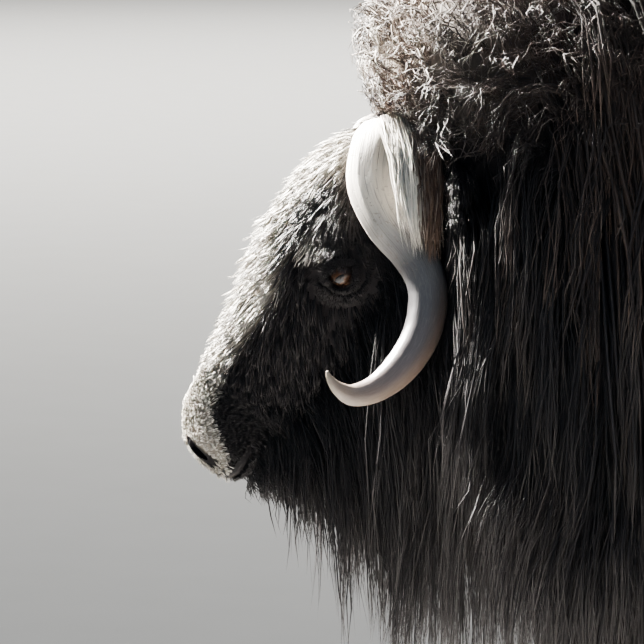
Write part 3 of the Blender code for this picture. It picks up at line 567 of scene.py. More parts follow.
def trunk_point(row, angle, inset=0.0):
    """A place on one section of the trunk, at an angle from the top, left for positive."""
    _, x, z, tilt, up, down, half = row
    crown = Vector((-math.sin(math.radians(tilt)), 0, math.cos(math.radians(tilt))))
    sine, cosine = math.sin(angle), math.cos(angle)
    across = math.copysign(abs(sine) ** (2 / TRUNK_SQUARENESS), sine)
    height = math.copysign(abs(cosine) ** (2 / TRUNK_SQUARENESS), cosine)
    wide, tall = max(half - inset, half / 2), max((up if height > 0 else down) - inset, up / 2)
    return Vector((x, -wide * across, z)) + crown * tall * height


def trunk_inset(row, angle):
    crest = float(fade(math.cos(angle), 0.15, 0.75)) * (1 - float(fade(row[1], -0.45, -0.10)))
    return blend((TRUNK_INSET, CREST_INSET), crest)


def trunk_skin():
    turns = [2 * math.pi * k / TRUNK_SIDES for k in range(TRUNK_SIDES)]
    rings = [[trunk_point(row, a, trunk_inset(row, a)) for a in turns] for row in trunk_rows(TRUNK_RINGS)]
    return wrap("trunk_skin", rings)


def leg_places():
    """Name, foot place, side and stations of each leg. A step sets fore and hind apart."""
    for end, foot, stations in (("front", FRONT_FOOT, FRONT_LEG), ("hind", HIND_FOOT, HIND_LEG)):
        for word, side in (("left", -1), ("right", 1)):
            forward = side * STEP / 2 * (1 if end == "front" else -1)
            yield f"{end}_{word}", Vector((foot[0] + forward, foot[1] * side, 0)), stations


def leg_skin(foot, stations):
    """A leg from inside the body down into the hoof, with its joints and tendons."""
    rows = smooth(numbered(stations), np.linspace(0, len(stations) - 1, LEG_RINGS))
    rings = []
    for _, shift, height, long, wide in rows:
        tendon = 0.10 * math.exp(-((height - 0.20) / 0.06) ** 2)
        ring = []
        for a, b in oval(LEG_SIDES):
            flat = 1 - tendon * abs(b) ** 3
            ring.append(Vector((foot.x + shift + a * (long - LEG_INSET),
                                foot.y + b * (wide - LEG_INSET) * flat, height)))
        rings.append(ring)
    return wrap("leg_skin", rings)


def tail_skin():
    rows = [(*place, radius) for place, radius in zip(TAIL_LINE, TAIL_RADII)]
    rows = smooth(numbered(rows), np.linspace(0, len(rows) - 1, 24))[:, 1:]
    path = [Vector(row[:3]) for row in rows]
    return sweep("tail_skin", path, rows[:, 3], rows[:, 3] * 0.7, 24, Vector((1, 0, 0.4)).normalized())


def soften(item, rounds, where):
    """Evens out the joins between head, trunk, legs and ears, where a test says so."""
    shape = bmesh.new()
    shape.from_mesh(item.data)
    verts = [v for v in shape.verts if where(v.co)]
    for _ in range(rounds):
        bmesh.ops.smooth_vert(shape, verts=verts, factor=0.5, use_axis_x=True, use_axis_y=True,
                              use_axis_z=True)
    shape.to_mesh(item.data)
    shape.free()


def near_joins(place):
    """Where the head meets the neck, and the legs meet the belly."""
    back, _, _ = head_place(place)
    legs = place.z < 0.56 and place.z > 0.38
    return (back > 0.40 and place.x < -0.55) or legs


def build_skin():
    skin = head_skin()
    others = [trunk_skin(), tail_skin()] + [ear(side) for side in (-1, 1)]
    others += [leg_skin(foot, stations) for _, foot, stations in leg_places()]
    for other in others:
        shape = bmesh.new()
        shape.from_mesh(other.data)
        bmesh.ops.triangulate(shape, faces=shape.faces)
        shape.to_mesh(other.data)
        shape.free()
    combine(skin, others, "UNION")
    combine(skin, [nostril_cutter(-1), nostril_cutter(1), mouth_cutter()], "DIFFERENCE")
    soften(skin, 4, near_joins)
    skin.name = skin.data.name = "skin"
    return skin


CORNEA_RISE, CORNEA_SPREAD = 0.0008, 0.55


# The eyes, the horns and the hooves

def eyeball(side):
    """An eyeball with a raised cornea. Each point keeps its place across the eye."""
    centre = eye_centre(side)
    axis, along, tall = eye_axes(side)
    item = ball("eye_left" if side < 0 else "eye_right", centre, EYE_RADIUS, 56, 40, axis)
    shape = bmesh.new()
    shape.from_mesh(item.data)
    layer = shape.verts.layers.float_vector.new("look")
    for vert in shape.verts:
        away = (vert.co - centre) / EYE_RADIUS
        look = Vector((away.dot(along), away.dot(tall), away.dot(axis)))
        vert[layer] = look
        reach = math.hypot(look.x, look.y)
        if look.z > 0:
            vert.co += axis * CORNEA_RISE * math.exp(-(reach / CORNEA_SPREAD) ** 2)
    bmesh.ops.recalc_face_normals(shape, faces=shape.faces)
    shape.to_mesh(item.data)
    shape.free()
    return item


def horn(side):
    """A horn that hugs the skull, then hooks out. Its base is rough with lengthwise ridges."""
    rows = [(*place, a, b) for place, a, b in zip(HORN_LINE, HORN_ALONG, HORN_ACROSS)]
    rows = smooth(numbered(rows), np.linspace(0, len(rows) - 1, HORN_RINGS))[:, 1:]
    path = [Vector((x, y * side, z)) for x, y, z in rows[:, :3]]
    facing = Vector((0, side, 0.35)).normalized()
    item = sweep("horn_left" if side < 0 else "horn_right", path, rows[:, 3], rows[:, 4],
                 HORN_SIDES, facing, "grow")
    shape = bmesh.new()
    shape.from_mesh(item.data)
    layer = shape.verts.layers.float_vector["grow"]
    for vert in shape.verts:
        round_x, round_y, share = vert[layer]
        rough = 1 - float(fade(share, 0.22, 0.62))
        along = share * 9
        fine = noise.noise((round_x * 7, round_y * 7, along))
        broad = noise.noise((round_x * 2, round_y * 2, along * 0.6 + 5))
        ring = math.sin(share * 150 + 5 * broad) * float(fade(share, 0.3, 0.5)) * (1 - share)
        vert.co += vert.normal * (fine * (0.0002 + 0.0006 * rough) + broad * 0.0022 * rough + 0.00020 * ring)
        vert[layer] = (-side * round_x, round_y, share)
    shape.to_mesh(item.data)
    shape.free()
    return item


def hoof(name, foot):
    """A broad hoof cleft into two toes, with growth rings and dew claws behind."""
    middle = foot - Vector((HOOF_AHEAD, 0, 0))
    rows = smooth(numbered(HOOF_LEVELS), np.linspace(0, len(HOOF_LEVELS) - 1, HOOF_RINGS))[:, 1:]
    rings = []
    for level, size, back in rows:
        ring = []
        for a, b in oval(HOOF_SIDES):
            grown = size * (1 + 0.006 * math.sin(level * 700) * (level > 0.004))
            long = math.copysign(abs(a) ** HOOF_SQUARENESS, a) * HOOF_LENGTH / 2 * grown
            wide = math.copysign(abs(b) ** HOOF_SQUARENESS, b) * HOOF_WIDTH / 2 * grown
            ring.append(middle + Vector((back + long, wide, max(level, 0))))
        rings.append(ring)
    body = wrap(name, rings)
    claws = [ball("claw", foot + Vector((CLAW_BACK, CLAW_APART * k, CLAW_HEIGHT)), CLAW_RADIUS, 24, 16)
             for k in (-1, 1)]
    combine(body, claws, "UNION")
    cleft = []
    for level in (-0.001, HOOF_HEIGHT + 0.006):
        front = middle + Vector((-HOOF_LENGTH, 0, level))
        apart = Vector((0, TOE_CLEFT, 0))
        cleft.append([front - apart, front + apart, middle + Vector((CLEFT_END, 0, level))])
    return combine(body, [wrap("cleft", cleft)], "DIFFERENCE")


# The coat

# A kind of tuft: how many to a guide, sections, width, how flat, how far their roots spread,
# how far they gather at the tip, how wide and how often they wave, how much shorter some are,
# how far some stray, and whether they keep off the horns and ears.
Tuft = namedtuple("Tuft", "count sections width flat spread gather wave turns short stray horn_clear",
                  defaults=(True,))


DOWN = Vector((0, 0, -1))
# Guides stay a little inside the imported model's box. Tips may reach its faces, and the hair
# of the muzzle a few millimetres past them.
FENCE_ROOM, MUZZLE_ROOM = 0.014, 0.006
FENCE = (cad_box[0] - SHIFT + Vector((0, FENCE_ROOM, 0.004)),
         cad_box[1] - SHIFT - Vector((FENCE_ROOM, FENCE_ROOM, FENCE_ROOM)))
TIP_FENCE = (np.array(cad_box[0] - SHIFT - Vector((MUZZLE_ROOM, 0, 0))), np.array(cad_box[1] - SHIFT))
# How far forward hair may go at each height: over the nape, and beside the horns.
NAPE_FRONT = ((1.020, 1.045, 1.077, 1.122, 1.160, 1.250), (-0.742, -0.768, -0.783, -0.795, -0.799, -0.795))
NECK_FRONT = ((0.30, 0.62, 0.70, 1.00, 1.04, 1.10), (-0.74, -0.70, -0.680, -0.672, -0.70, -0.76))
ROOT_DEPTH, HANG_START = 0.003, 0.35


def comb(surface, root, lean, length, steps, lift, hang=1.0, fade_out=1.2, start=0.15, front=None):
    """A guide from a root on the skin: it starts along its lean, then hangs down.

    Each point is kept above the skin by a share of lift.
    """
    spot, normal, _, _ = surface.find_nearest(root)
    path, facing = [spot - normal * min(ROOT_DEPTH, length * 0.06)], [normal.copy()]
    place = spot.copy()
    for k in range(1, steps + 1):
        share = k / steps
        way = lean * (1 - share) ** fade_out + DOWN * hang * (HANG_START + share)
        flat = way - normal * min(way.dot(normal), 0)
        place = place + flat.normalized() * (length / steps)
        spot, normal, _, _ = surface.find_nearest(place)
        rise = (place - spot).dot(normal)
        want = lift * (start + (1 - start) * share ** 0.7)
        if rise < want:
            place = spot + normal * want
        place = Vector(max(min(v, high), low) for v, low, high in zip(place, *FENCE))
        if front is not None:
            place.x = max(place.x, float(np.interp(place.z, *front)))
        path.append(place.copy())
        facing.append((normal + facing[-1]).normalized())
    return path, facing


def between(table, places):
    """Values of a (guides, points, 3) table read at fractional places along each guide."""
    rows = np.arange(len(table))[:, None]
    low = np.clip(places.astype(int), 0, table.shape[1] - 2)
    part = (places - low)[..., None]
    return table[rows, low] * (1 - part) + table[rows, low + 1] * part


def unit(vectors):
    return vectors / np.maximum(np.linalg.norm(vectors, axis=-1, keepdims=True), 1e-9)


def crossing(points, ups):
    """The two directions across each strand, from its points and the skin's normals."""
    ahead = unit(np.gradient(points, axis=1))
    side = unit(np.cross(ahead, ups))
    return side, np.cross(side, ahead)


def horn_rows(count):
    """Middle and mean radius of a horn, with y as the distance from the middle."""
    rows = [(*place, (a + b) / 2) for place, a, b in zip(HORN_LINE, HORN_ALONG, HORN_ACROSS)]
    return smooth(numbered(rows), np.linspace(0, len(rows) - 1, count))[:, 1:]


def ear_rows(count):
    """The same of an ear, without its tip."""
    share = np.linspace(0.15, 0.92, count)[:, None]
    root, tip = np.array(EAR_ROOT), np.array(EAR_TIP)
    wide = np.interp(share, np.linspace(0, 1, len(EAR_WIDTHS)), EAR_WIDTHS)
    return np.concatenate([root + (tip - root) * share, wide * 0.8], axis=1)


def clear_of(line, rows, near_gap, far_gap):
    """Moves hair that would cross or cover a horn or ear in behind it, towards the head."""
    flat = line.reshape(-1, 3).copy()
    low, high = rows[:, [0, 2]].min(0) - 0.04, rows[:, [0, 2]].max(0) + 0.04
    inside = ((flat[:, [0, 2]] > low) & (flat[:, [0, 2]] < high)).all(1) & (abs(flat[:, 1]) > 0.04)
    near = flat[inside]
    if len(near):
        apart = near[:, None, [0, 2]] - rows[None, :, [0, 2]]
        reach = np.linalg.norm(apart, axis=2) - rows[None, :, 3]
        pick = reach.argmin(axis=1)
        gap = reach[np.arange(len(near)), pick]
        behind = rows[pick, 1] - rows[pick, 3] - 0.004
        hold = 1 - fade(gap, near_gap, far_gap)
        away = np.abs(near[:, 1])
        moved = np.where(away > behind, away + (behind - away) * hold, away)
        near[:, 1] = np.sign(near[:, 1]) * moved
        flat[inside] = near
    return flat.reshape(line.shape)


def grow_tufts(name, guides, kind, luck, unwrap, colours):
    """Closed slivers of hair round each guide, joined into one mesh.

    guides are (path, facing) pairs of one length. unwrap gives the root's place on a flat
    skin, and colours gives its pale and warm tones, painted sunlight included.
    """
    count, sections = kind.count, kind.sections
    paths = np.array([[tuple(p) for p in path] for path, _ in guides])
    ups = np.array([[tuple(p) for p in facing] for _, facing in guides])
    owner = np.repeat(np.arange(len(guides)), count)
    paths, ups = paths[owner], ups[owner]
    total = len(owner)
    share = np.linspace(0, 1, sections)
    reach = 1 - kind.short * luck.random(total) ** 1.5
    places = share[None] * reach[:, None] * (paths.shape[1] - 1)
    line, out = between(paths, places), unit(between(ups, places))
    side, rise = crossing(line, out)
    turn, far = luck.random(total) * 2 * math.pi, np.sqrt(luck.random(total))
    hold = 1 - kind.gather * share ** 1.3
    phase = luck.random(total) * 2 * math.pi
    size = (kind.wave * (0.6 + 0.8 * luck.random(total)))[:, None] * share ** 0.8
    swing = 2 * math.pi * kind.turns * share[None] * (0.8 + 0.4 * luck.random(total))[:, None]
    swing = swing + phase[:, None]
    across = (kind.spread * far * np.cos(turn))[:, None] * hold + size * np.sin(swing)
    above = (kind.spread * 0.55 * far * np.abs(np.sin(turn)))[:, None] * hold * share ** 0.5
    above = above + size * (1 + np.cos(swing)) * 0.5
    astray = kind.stray * np.clip(luck.normal(size=(2, total)), -1.6, 1.6) * luck.random(total) ** 1.5
    across = across + astray[0][:, None] * share ** 1.3
    above = above + np.abs(astray[1])[:, None] * share ** 1.3
    line = line + side * across[..., None] + rise * above[..., None]
    line = np.clip(line, *TIP_FENCE)
    if kind.horn_clear:
        line = clear_of(line, horn_rows(60), 0.004, 0.018)
        line = clear_of(line, ear_rows(30), 0.0, 0.016)
    side, rise = crossing(line, out)
    taper = (0.55 + 1.8 * share) * np.minimum(1, (1 - share) * 1.9) ** 0.8
    half = kind.width / 2 * (0.5 + 1.2 * luck.random(total) ** 1.8)[:, None] * np.minimum(taper, 1)
    spin = luck.random(total) * 2 * math.pi
    rings = []
    for corner in range(3):
        angle = spin + corner * 2 * math.pi / 3
        a = (half * np.cos(angle)[:, None])[:, :-1, None]
        b = (half * kind.flat * np.sin(angle)[:, None])[:, :-1, None]
        rings.append(line[:, :-1] + side[:, :-1] * a + rise[:, :-1] * b)
    body = np.stack(rings, axis=2).reshape(total, (sections - 1) * 3, 3)
    points = np.concatenate([body, line[:, -1:]], axis=1)
    per_sliver = points.shape[1]
    faces = [(0, 1, 2)]
    for k in range(sections - 2):
        for c in range(3):
            a, b = k * 3 + c, k * 3 + (c + 1) % 3
            faces += [(a, a + 3, b + 3), (a, b + 3, b)]
    last = (sections - 2) * 3
    faces += [(last + c, per_sliver - 1, last + (c + 1) % 3) for c in range(3)]
    faces = np.array(faces)[None] + (np.arange(total) * per_sliver)[:, None, None]
    roots = paths[:, 0]
    item = join_slivers(name, points.reshape(-1, 3), faces.reshape(-1, 3))
    steps = np.append(np.repeat(share[:-1], 3), 1.0)
    note(item, "along", np.tile(steps, total))
    note(item, "luck", np.repeat(luck.random(total), per_sliver))
    for title, values in colours(roots).items():
        note(item, title, np.repeat(values, per_sliver))
    corners = np.append(np.tile(np.arange(3) / 3, sections - 1), 0.5)
    flat = unwrap(roots)[:, None] + np.stack([corners, steps], axis=1)[None] * PATCH
    layer = item.data.uv_layers.new(name="OFBake")
    layer.data.foreach_set("uv", flat.reshape(-1, 2)[faces.reshape(-1)].astype(np.float32).ravel())
    return item


def join_slivers(name, points, faces):
    mesh = bpy.data.meshes.new(name)
    mesh.vertices.add(len(points))
    mesh.vertices.foreach_set("co", points.astype(np.float32).ravel())
    mesh.loops.add(faces.size)
    mesh.loops.foreach_set("vertex_index", faces.astype(np.int32).ravel())
    mesh.polygons.add(len(faces))
    mesh.polygons.foreach_set("loop_start", np.arange(0, faces.size, 3, dtype=np.int32))
    mesh.polygons.foreach_set("use_smooth", np.ones(len(faces), bool))
    mesh.update(calc_edges=True)
    made = bpy.data.objects.new(name, mesh)
    bpy.context.scene.collection.objects.link(made)
    return made


# The pale front of the face, partly the coat's own pale marking and partly painted sunlight: by distance
# back, the height where it starts and how pale it is.
PALE_SUNLIT_BACKS = (-0.02, 0.0, 0.026, 0.036, 0.06, 0.09, 0.15, 0.23, 0.27, 0.30, 0.37, 0.45)
PALE_SUNLIT_HEIGHTS = (-0.045, -0.03, 0.018, 0.038, 0.047, 0.055, 0.064, 0.076, 0.104, 0.122, 0.120, 0.09)
PALE_SUNLIT_SHARES = (0.95, 0.95, 0.90, 0.85, 0.80, 0.70, 0.62, 0.58, 0.55, 0.58, 0.60, 0.60)


def markings_and_painted_sun(points):
    """How pale and how warm the coat is at each place, with painted sunlight on the front of the face and
    behind the horns' bases. Skin and hair share it.
    """
    x, y, z = points[:, 0], points[:, 1], points[:, 2]
    back, height, across = head_place(points)
    saddle = 0.46 * np.exp(-(((x - 0.12) / 0.30) ** 2 + (y / 0.24) ** 2 + ((z - 1.12) / 0.20) ** 2))
    socks = 0.85 * (1 - fade(z, 0.28, 0.42)) * (x > -0.62)
    on_face = (x < -0.66) * (1 - fade(back, 0.42, 0.50)) * (abs(across) < 0.17)
    edge = np.interp(back, PALE_SUNLIT_BACKS, PALE_SUNLIT_HEIGHTS)
    # Pale band on the forehead, nose bridge and muzzle: partly the coat's own pale marking and partly painted
    # sunlight.
    pale_and_sunlit_band = np.interp(back, PALE_SUNLIT_BACKS, PALE_SUNLIT_SHARES) * fade(height, edge - 0.008, edge + 0.010)
    away = np.abs(across)
    brow = 0.55 * np.exp(-((back - 0.298) / 0.016) ** 2 - ((height - 0.082) / 0.014) ** 2) * (away > 0.06)
    ruff = 0.80 * (1 - fade(x, -0.752, -0.738)) * fade(z, 1.035, 1.045) * (away > 0.06) * (away < 0.11)
    # Painted sunlight shining through the hair behind the horns' bases: the poll is painted a little paler
    # here.
    sunlit_nape = fade(z, 1.00, 1.10) * (1 - fade(x, -0.70, -0.55))
    face = on_face * np.maximum(pale_and_sunlit_band, brow)
    pale = np.clip(saddle + socks + face + ruff * (x > -0.78) + 0.24 * sunlit_nape, 0, 1)
    # Painted sunlight shining through the hair behind the horns' bases, as a warm brown.
    sun_through_hair = fade(z, 1.035, 1.05) * (x < -0.70) * (away > 0.06)
    crest = fade(z, 0.98, 1.12) * (1 - fade(x, -0.45, 0.1))
    # warm holds the coat's own warm tones and that painted sunlight.
    warm = np.clip(0.30 * crest + 0.55 * sun_through_hair + 0.25 * fade(-z, -0.55, -0.30) * (x < -0.5)
                   + 0.30 * fade(x, -0.35, 0.1), 0, 1)
    return {"pale": pale, "warm": warm}


def bare_places(points):
    """Where the nose's skin is bare: round the nostrils and along the lips."""
    back, height, across = head_place(points)
    nostril = np.full(len(points), 9.0)
    for b, h, a in NOSTRIL:
        nostril = np.minimum(nostril, np.sqrt((back - b) ** 2 + (height - h) ** 2 + (abs(across) - a) ** 2))
    line = MOUTH_HEIGHT + MOUTH_RISE * np.maximum(back, 0)
    lips = (1 - fade(abs(height - line), 0.006, 0.013)) * (back < MOUTH_BACK + 0.01) * (points[:, 0] < -0.8)
    bare = np.maximum(1 - fade(nostril, 0.010, 0.016), lips)
    for side in (-1, 1):
        away = points - np.array(eye_centre(side))
        bare = np.maximum(bare, 1 - fade(np.linalg.norm(away, axis=1), 0.024, 0.030))
    return bare


def trunk_unwrap(points):
    x, y, z = points[:, 0], points[:, 1], points[:, 2]
    return np.stack([(x + 0.85) / 1.9, 0.5 + np.arctan2(-y, z - 0.83) / 6.4], axis=1)


def head_unwrap(points):
    back, height, across = head_place(points)
    return np.stack([(back + 0.04) / 0.65, 0.5 + np.arctan2(across, height) / 6.4], axis=1)


def leg_unwrap(points):
    lane = (points[:, 0] > 0) * 2 + (points[:, 1] > 0)
    foot = np.where(points[:, 0] > 0, HIND_FOOT[0], FRONT_FOOT[0])
    around = np.arctan2(np.abs(points[:, 1]) - 0.16, points[:, 0] - foot)
    return np.stack([lane * 0.25 + 0.125 + around / 28, points[:, 2] / 0.6], axis=1)


# By angle from the spine: length, lift off the skin, and how far the hair starts back and out.
COAT_ANGLES = (0, 14, 44, 76, 106, 128)
COAT_TIERS = (
    (0.22, 0.26, 0.36, 0.47, 0.46, 0.40),
    (0.050, 0.052, 0.056, 0.058, 0.050, 0.040),
    (0.60, 0.45, 0.28, 0.12, 0.04, 0.0),
    (0.25, 0.50, 0.50, 0.40, 0.15, 0.0),
)
COAT_STEP, COAT_STEP_ANGLE, COAT_POINTS, ROOT_SECTIONS = 0.046, 6.6, 9, 201
RUMP_START, RUMP_FADE = 0.68, 0.20
NECK_CUT, SHOULDER_CUT, FLANK_CUT, RUMP = -0.515, -0.050, 0.500, 0.915
LONG_COAT = Tuft(9, 5, 0.0043, 0.5, 0.030, 0.55, 0.006, 1.3, 0.25, 0.012)


def body_guides(surface, luck, low, high, side):
    """The long coat, from the spine to the skirt, for one length and side of the body."""
    rows = trunk_rows(ROOT_SECTIONS)
    made = []
    for angle in np.arange(3.0, 128.0, COAT_STEP_ANGLE):
        length, lift, back, out = (float(np.interp(angle, COAT_ANGLES, values)) for values in COAT_TIERS)
        count = round((high - low) / COAT_STEP)
        for k in range(count):
            x = low + (high - low) * (k + luck.random()) / count
            turn = math.radians(angle + (luck.random() - 0.5) * COAT_STEP_ANGLE * 1.3) * side
            row = rows[int(np.argmin(np.abs(rows[:, 1] - x)))]
            root = trunk_point(row, -turn, TRUNK_INSET)
            rear = float(fade(x, RUMP_START, RUMP_START + RUMP_FADE))
            lean = Vector((back + 0.9 * rear, out * side * (1 - 0.6 * rear), 0))
            reach = length * (0.82 + 0.36 * luck.random()) * (1 + 0.25 * rear)
            over = lift * (0.55 + 0.75 * luck.random())
            made.append(comb(surface, root, lean, reach, COAT_POINTS, over))
    return made


MANE_STRETCH, MANE_STEP, MANE_STEP_ANGLE, HANGING_SHARE = (-0.668, -0.20), 0.0125, 2.8, 0.57
# Below the crest and on it.
WOOL_LENGTH, WOOL_LIFT = (0.190, 0.070), (0.046, 0.046)
WOOL = Tuft(6, 6, 0.0014, 0.8, 0.011, 0.0, 0.0060, 2.3, 0.55, 0.010)
MANE_HAIR = Tuft(9, 6, 0.0021, 0.6, 0.017, 0.45, 0.009, 1.6, 0.22, 0.014)


def mane_guides(surface, luck, side):
    """The woolly crest over the poll, neck and hump, and where it hangs down the neck."""
    rows = trunk_rows(ROOT_SECTIONS)
    woolly, hanging = [], []
    for angle in np.arange(1.5, 170.0, MANE_STEP_ANGLE):
        for x in np.arange(MANE_STRETCH[0], MANE_STRETCH[1], MANE_STEP):
            spot = x + (luck.random() - 0.5) * MANE_STEP
            turn = math.radians(angle + (luck.random() - 0.5) * MANE_STEP_ANGLE) * side
            row = rows[int(np.argmin(np.abs(rows[:, 1] - spot)))]
            root = trunk_point(row, -turn, CREST_INSET)
            crest = 1 - float(fade(angle, 44, 98))
            rearward = float(fade(spot, -0.50, -0.25))
            if crest > 0.06 + luck.random() * 0.75 and luck.random() > rearward:
                lean = Vector(luck.normal(size=3)) * 0.45 + Vector((-0.25, 0.15 * side, 0.7 * crest - 0.1))
                front = (NAPE_FRONT[0], np.array(NAPE_FRONT[1]) + abs(luck.normal()) * 0.014)
                length = blend(WOOL_LENGTH, crest) * (0.7 + 0.6 * luck.random())
                lift = blend(WOOL_LIFT, crest) * (0.25 + 0.85 * luck.random())
                woolly.append(comb(surface, root, lean, length, 7, lift, blend((0.9, 0.2), crest),
                                   0.8, 0.35, front if crest > 0.5 else NECK_FRONT))
            elif (spot < NECK_CUT + 0.02 or crest > 0.4) and luck.random() < HANGING_SHARE:
                lean = Vector((-0.10 + 0.5 * rearward, 0.45 * side, 0.1)) + Vector(luck.normal(size=3)) * 0.15
                reach = blend((0.42, 0.20), crest) * (0.8 + 0.4 * luck.random())
                hanging.append(comb(surface, root, lean, reach, COAT_POINTS,
                                    0.050 * (0.4 + 0.8 * luck.random()), front=NECK_FRONT))
    return woolly, hanging


def laid(edges, share, side, luck):
    """A guide laid between two edge paths, facing out."""
    rows = np.array(edges[0]) * (1 - share) + np.array(edges[1]) * share
    rows = smooth(numbered([tuple(row) for row in rows]), np.linspace(0, len(rows) - 1, 8))[:, 1:]
    stray = Vector((0.003 * luck.normal(), 0.002 * luck.normal(), 0.006 * luck.normal()))
    path = [Vector((x, y * side, z)) + stray * k / 7 for k, (x, y, z) in enumerate(rows)]
    facing = [Vector((-0.3, side, 0.2)).normalized()] * len(path)
    return path, facing


# The fringe's two edges, with y as the distance from the middle.
FRINGE = (
    ((-0.766, 0.082, 1.048), (-0.754, 0.134, 1.008), (-0.744, 0.164, 0.950), (-0.729, 0.186, 0.884)),
    ((-0.716, 0.105, 1.055), (-0.698, 0.152, 1.005), (-0.694, 0.176, 0.945), (-0.698, 0.190, 0.872)),
)
FRINGE_COUNT = 70
FRINGE_HAIR = Tuft(10, 6, 0.0018, 0.6, 0.011, 0.55, 0.003, 1.2, 0.60, 0.006, False)


def fringe_guides(luck, side):
    """Pale and warm tufts that fall from behind the horn's base over its rear. Their warm tone and part of
    their paleness are painted sunlight shining through the hair.
    """
    return [laid(FRINGE, (k + luck.random()) / FRINGE_COUNT, side, luck) for k in range(FRINGE_COUNT)]


EAR_GUIDES = 130
EAR_HAIR = Tuft(6, 4, 0.0013, 0.6, 0.006, 0.3, 0.0015, 0.8, 0.4, 0.004, False)


def ear_guides(surface, luck, side):
    """Hair on the ear: short on its back, longer along its edges and from its cup."""
    root, tip = mirrored(EAR_ROOT, side), mirrored(EAR_TIP, side)
    along = (tip - root).normalized()
    open_to = mirrored(EAR_OPENS, side)
    open_to = (open_to - along * open_to.dot(along)).normalized()
    wide = along.cross(open_to).normalized()
    made = []
    for k in range(EAR_GUIDES):
        share = 0.12 + 0.86 * luck.random()
        half = float(np.interp(share, np.linspace(0, 1, len(EAR_WIDTHS)), EAR_WIDTHS))
        turn = (luck.random() * 2 - 1) * math.radians(EAR_FOLD)
        out = wide * math.sin(turn) - open_to * math.cos(turn) * 0.6
        way = along + out * 0.3 + DOWN * 0.25 + Vector(luck.normal(size=3)) * 0.15
        length = 0.020 + 0.016 * luck.random() + 0.010 * abs(math.sin(turn))
        made.append(comb(surface, root + along * (tip - root).length * share + out * half * 1.1, way,
                         length, 5, 0.006, 0.3, 0.6, 0.4))
    return made


BEARD_ANGLES = (84, 120, 150, 180)
BEARD_ENDS = ((0.350, 0.070, 0.010, -0.008), (0.490, 0.480, 0.500, 0.520))
BEARD_STEP, BEARD_STEP_ANGLE = 0.0175, 5.4
BEARD_START, BEARD_FADE = 0.03, 0.20
BEARD_BACKS = (0.0, 0.03, 0.06, 0.10, 0.15, 0.22, 0.30, 0.50)
BEARD_LENGTHS = (0.032, 0.058, 0.100, 0.170, 0.265, 0.400, 0.480, 0.560)
BEARD = Tuft(9, 6, 0.0017, 0.6, 0.015, 0.30, 0.007, 1.4, 0.32, 0.014)


def beard_guides(surface, luck, side):
    """The beard and the long hair of the cheeks, longer further back."""
    made = []
    for angle in np.arange(84.0, 181.0, BEARD_STEP_ANGLE):
        first, last = (float(np.interp(angle, BEARD_ANGLES, ends)) for ends in BEARD_ENDS)
        count = round((last - first) / BEARD_STEP)
        for k in range(count):
            back = first + (last - first) * (k + luck.random()) / count
            turn = math.radians(min(angle + (luck.random() - 0.5) * BEARD_STEP_ANGLE, 180))
            row = smooth(HEAD_STATIONS, [back])[0]
            root = head_point(row, turn * side, FACE_INSET)
            grown = min(1.0, max(0.0, (back - BEARD_START) / BEARD_FADE))
            reach = float(np.interp(back, BEARD_BACKS, BEARD_LENGTHS)) * (0.85 + 0.35 * luck.random())
            reach *= blend((1, 0.62), float(fade(angle, 115, 84)))
            lean = HEAD_BACK * 0.25 + Vector((0.05, 0.30 * side * math.sin(turn), 0))
            lean += Vector(luck.normal(size=3)) * 0.10
            lift = blend((0.006, 0.036), grown) * (0.4 + luck.random())
            made.append(comb(surface, root, lean, reach, 8, lift))
    return made


def face_guides(surface, luck, side):
    """Short hair over the face, from the lips to the horns, round the lids and nostrils."""
    short, long = [], []
    eye = eye_centre(side)
    for back in face_steps():
        row = smooth(HEAD_STATIONS, [back])[0]
        girth = row[3] + row[1]
        gap = face_gap(back)
        count = round(2.6 * girth / gap / 1.15)
        for k in range(count):
            turn = math.pi * (k + luck.random()) / count
            spot = back + (luck.random() - 0.5) * gap
            row = smooth(HEAD_STATIONS, [spot])[0]
            surface_spot = head_point(row, turn * side, FACE_INSET * 0.5)
            spot, normal, _, _ = surface.find_nearest(surface_spot)
            place_back, height, _ = head_place(np.array(spot))
            if not grows_hair(spot, float(place_back), float(height), side, eye):
                continue
            length, lift, way = face_hair(spot, float(place_back), math.degrees(turn), side, eye, luck)
            group, steps = (short, 4) if length < SHORT_HAIR else (long, 6)
            group.append(comb(surface, spot, way, length, steps, lift, 0.0, 0.35, 0.30))
    return short, long


# How far apart tufts stand at the muzzle and behind it, the longest hair made as a short
# tuft, and how far round the nostrils none grows.
FACE_GAPS = (0.0044, 0.0104)
SHORT_HAIR, NOSTRIL_BARE = 0.028, 0.0105


def face_gap(back):
    """How far apart tufts stand on the face."""
    return blend(FACE_GAPS, float(fade(back, 0.02, 0.16)))


def face_steps():
    places, back = [], -0.022
    while back < 0.50:
        places.append(back)
        back += face_gap(back)
    return places


def grows_hair(spot, back, height, side, eye):
    """False in the eye's opening, the nostrils and the line of the mouth."""
    axis, along, tall = eye_axes(side)
    away = spot - eye
    if away.length < 0.06 and away.dot(axis) > 0:
        u, v = away.dot(along), away.dot(tall)
        if math.hypot(u / LID_OPENING[0], v / LID_OPENING[1]) < LID_HAIR[1] / 2:
            return False
    nostril = min((spot - on_head(b, h, a * side)).length for b, h, a in NOSTRIL[:-1])
    line = MOUTH_HEIGHT + MOUTH_RISE * max(back, 0)
    lips = back < MOUTH_BACK and abs(height - line) < 0.0015
    return nostril > NOSTRIL_BARE and not lips


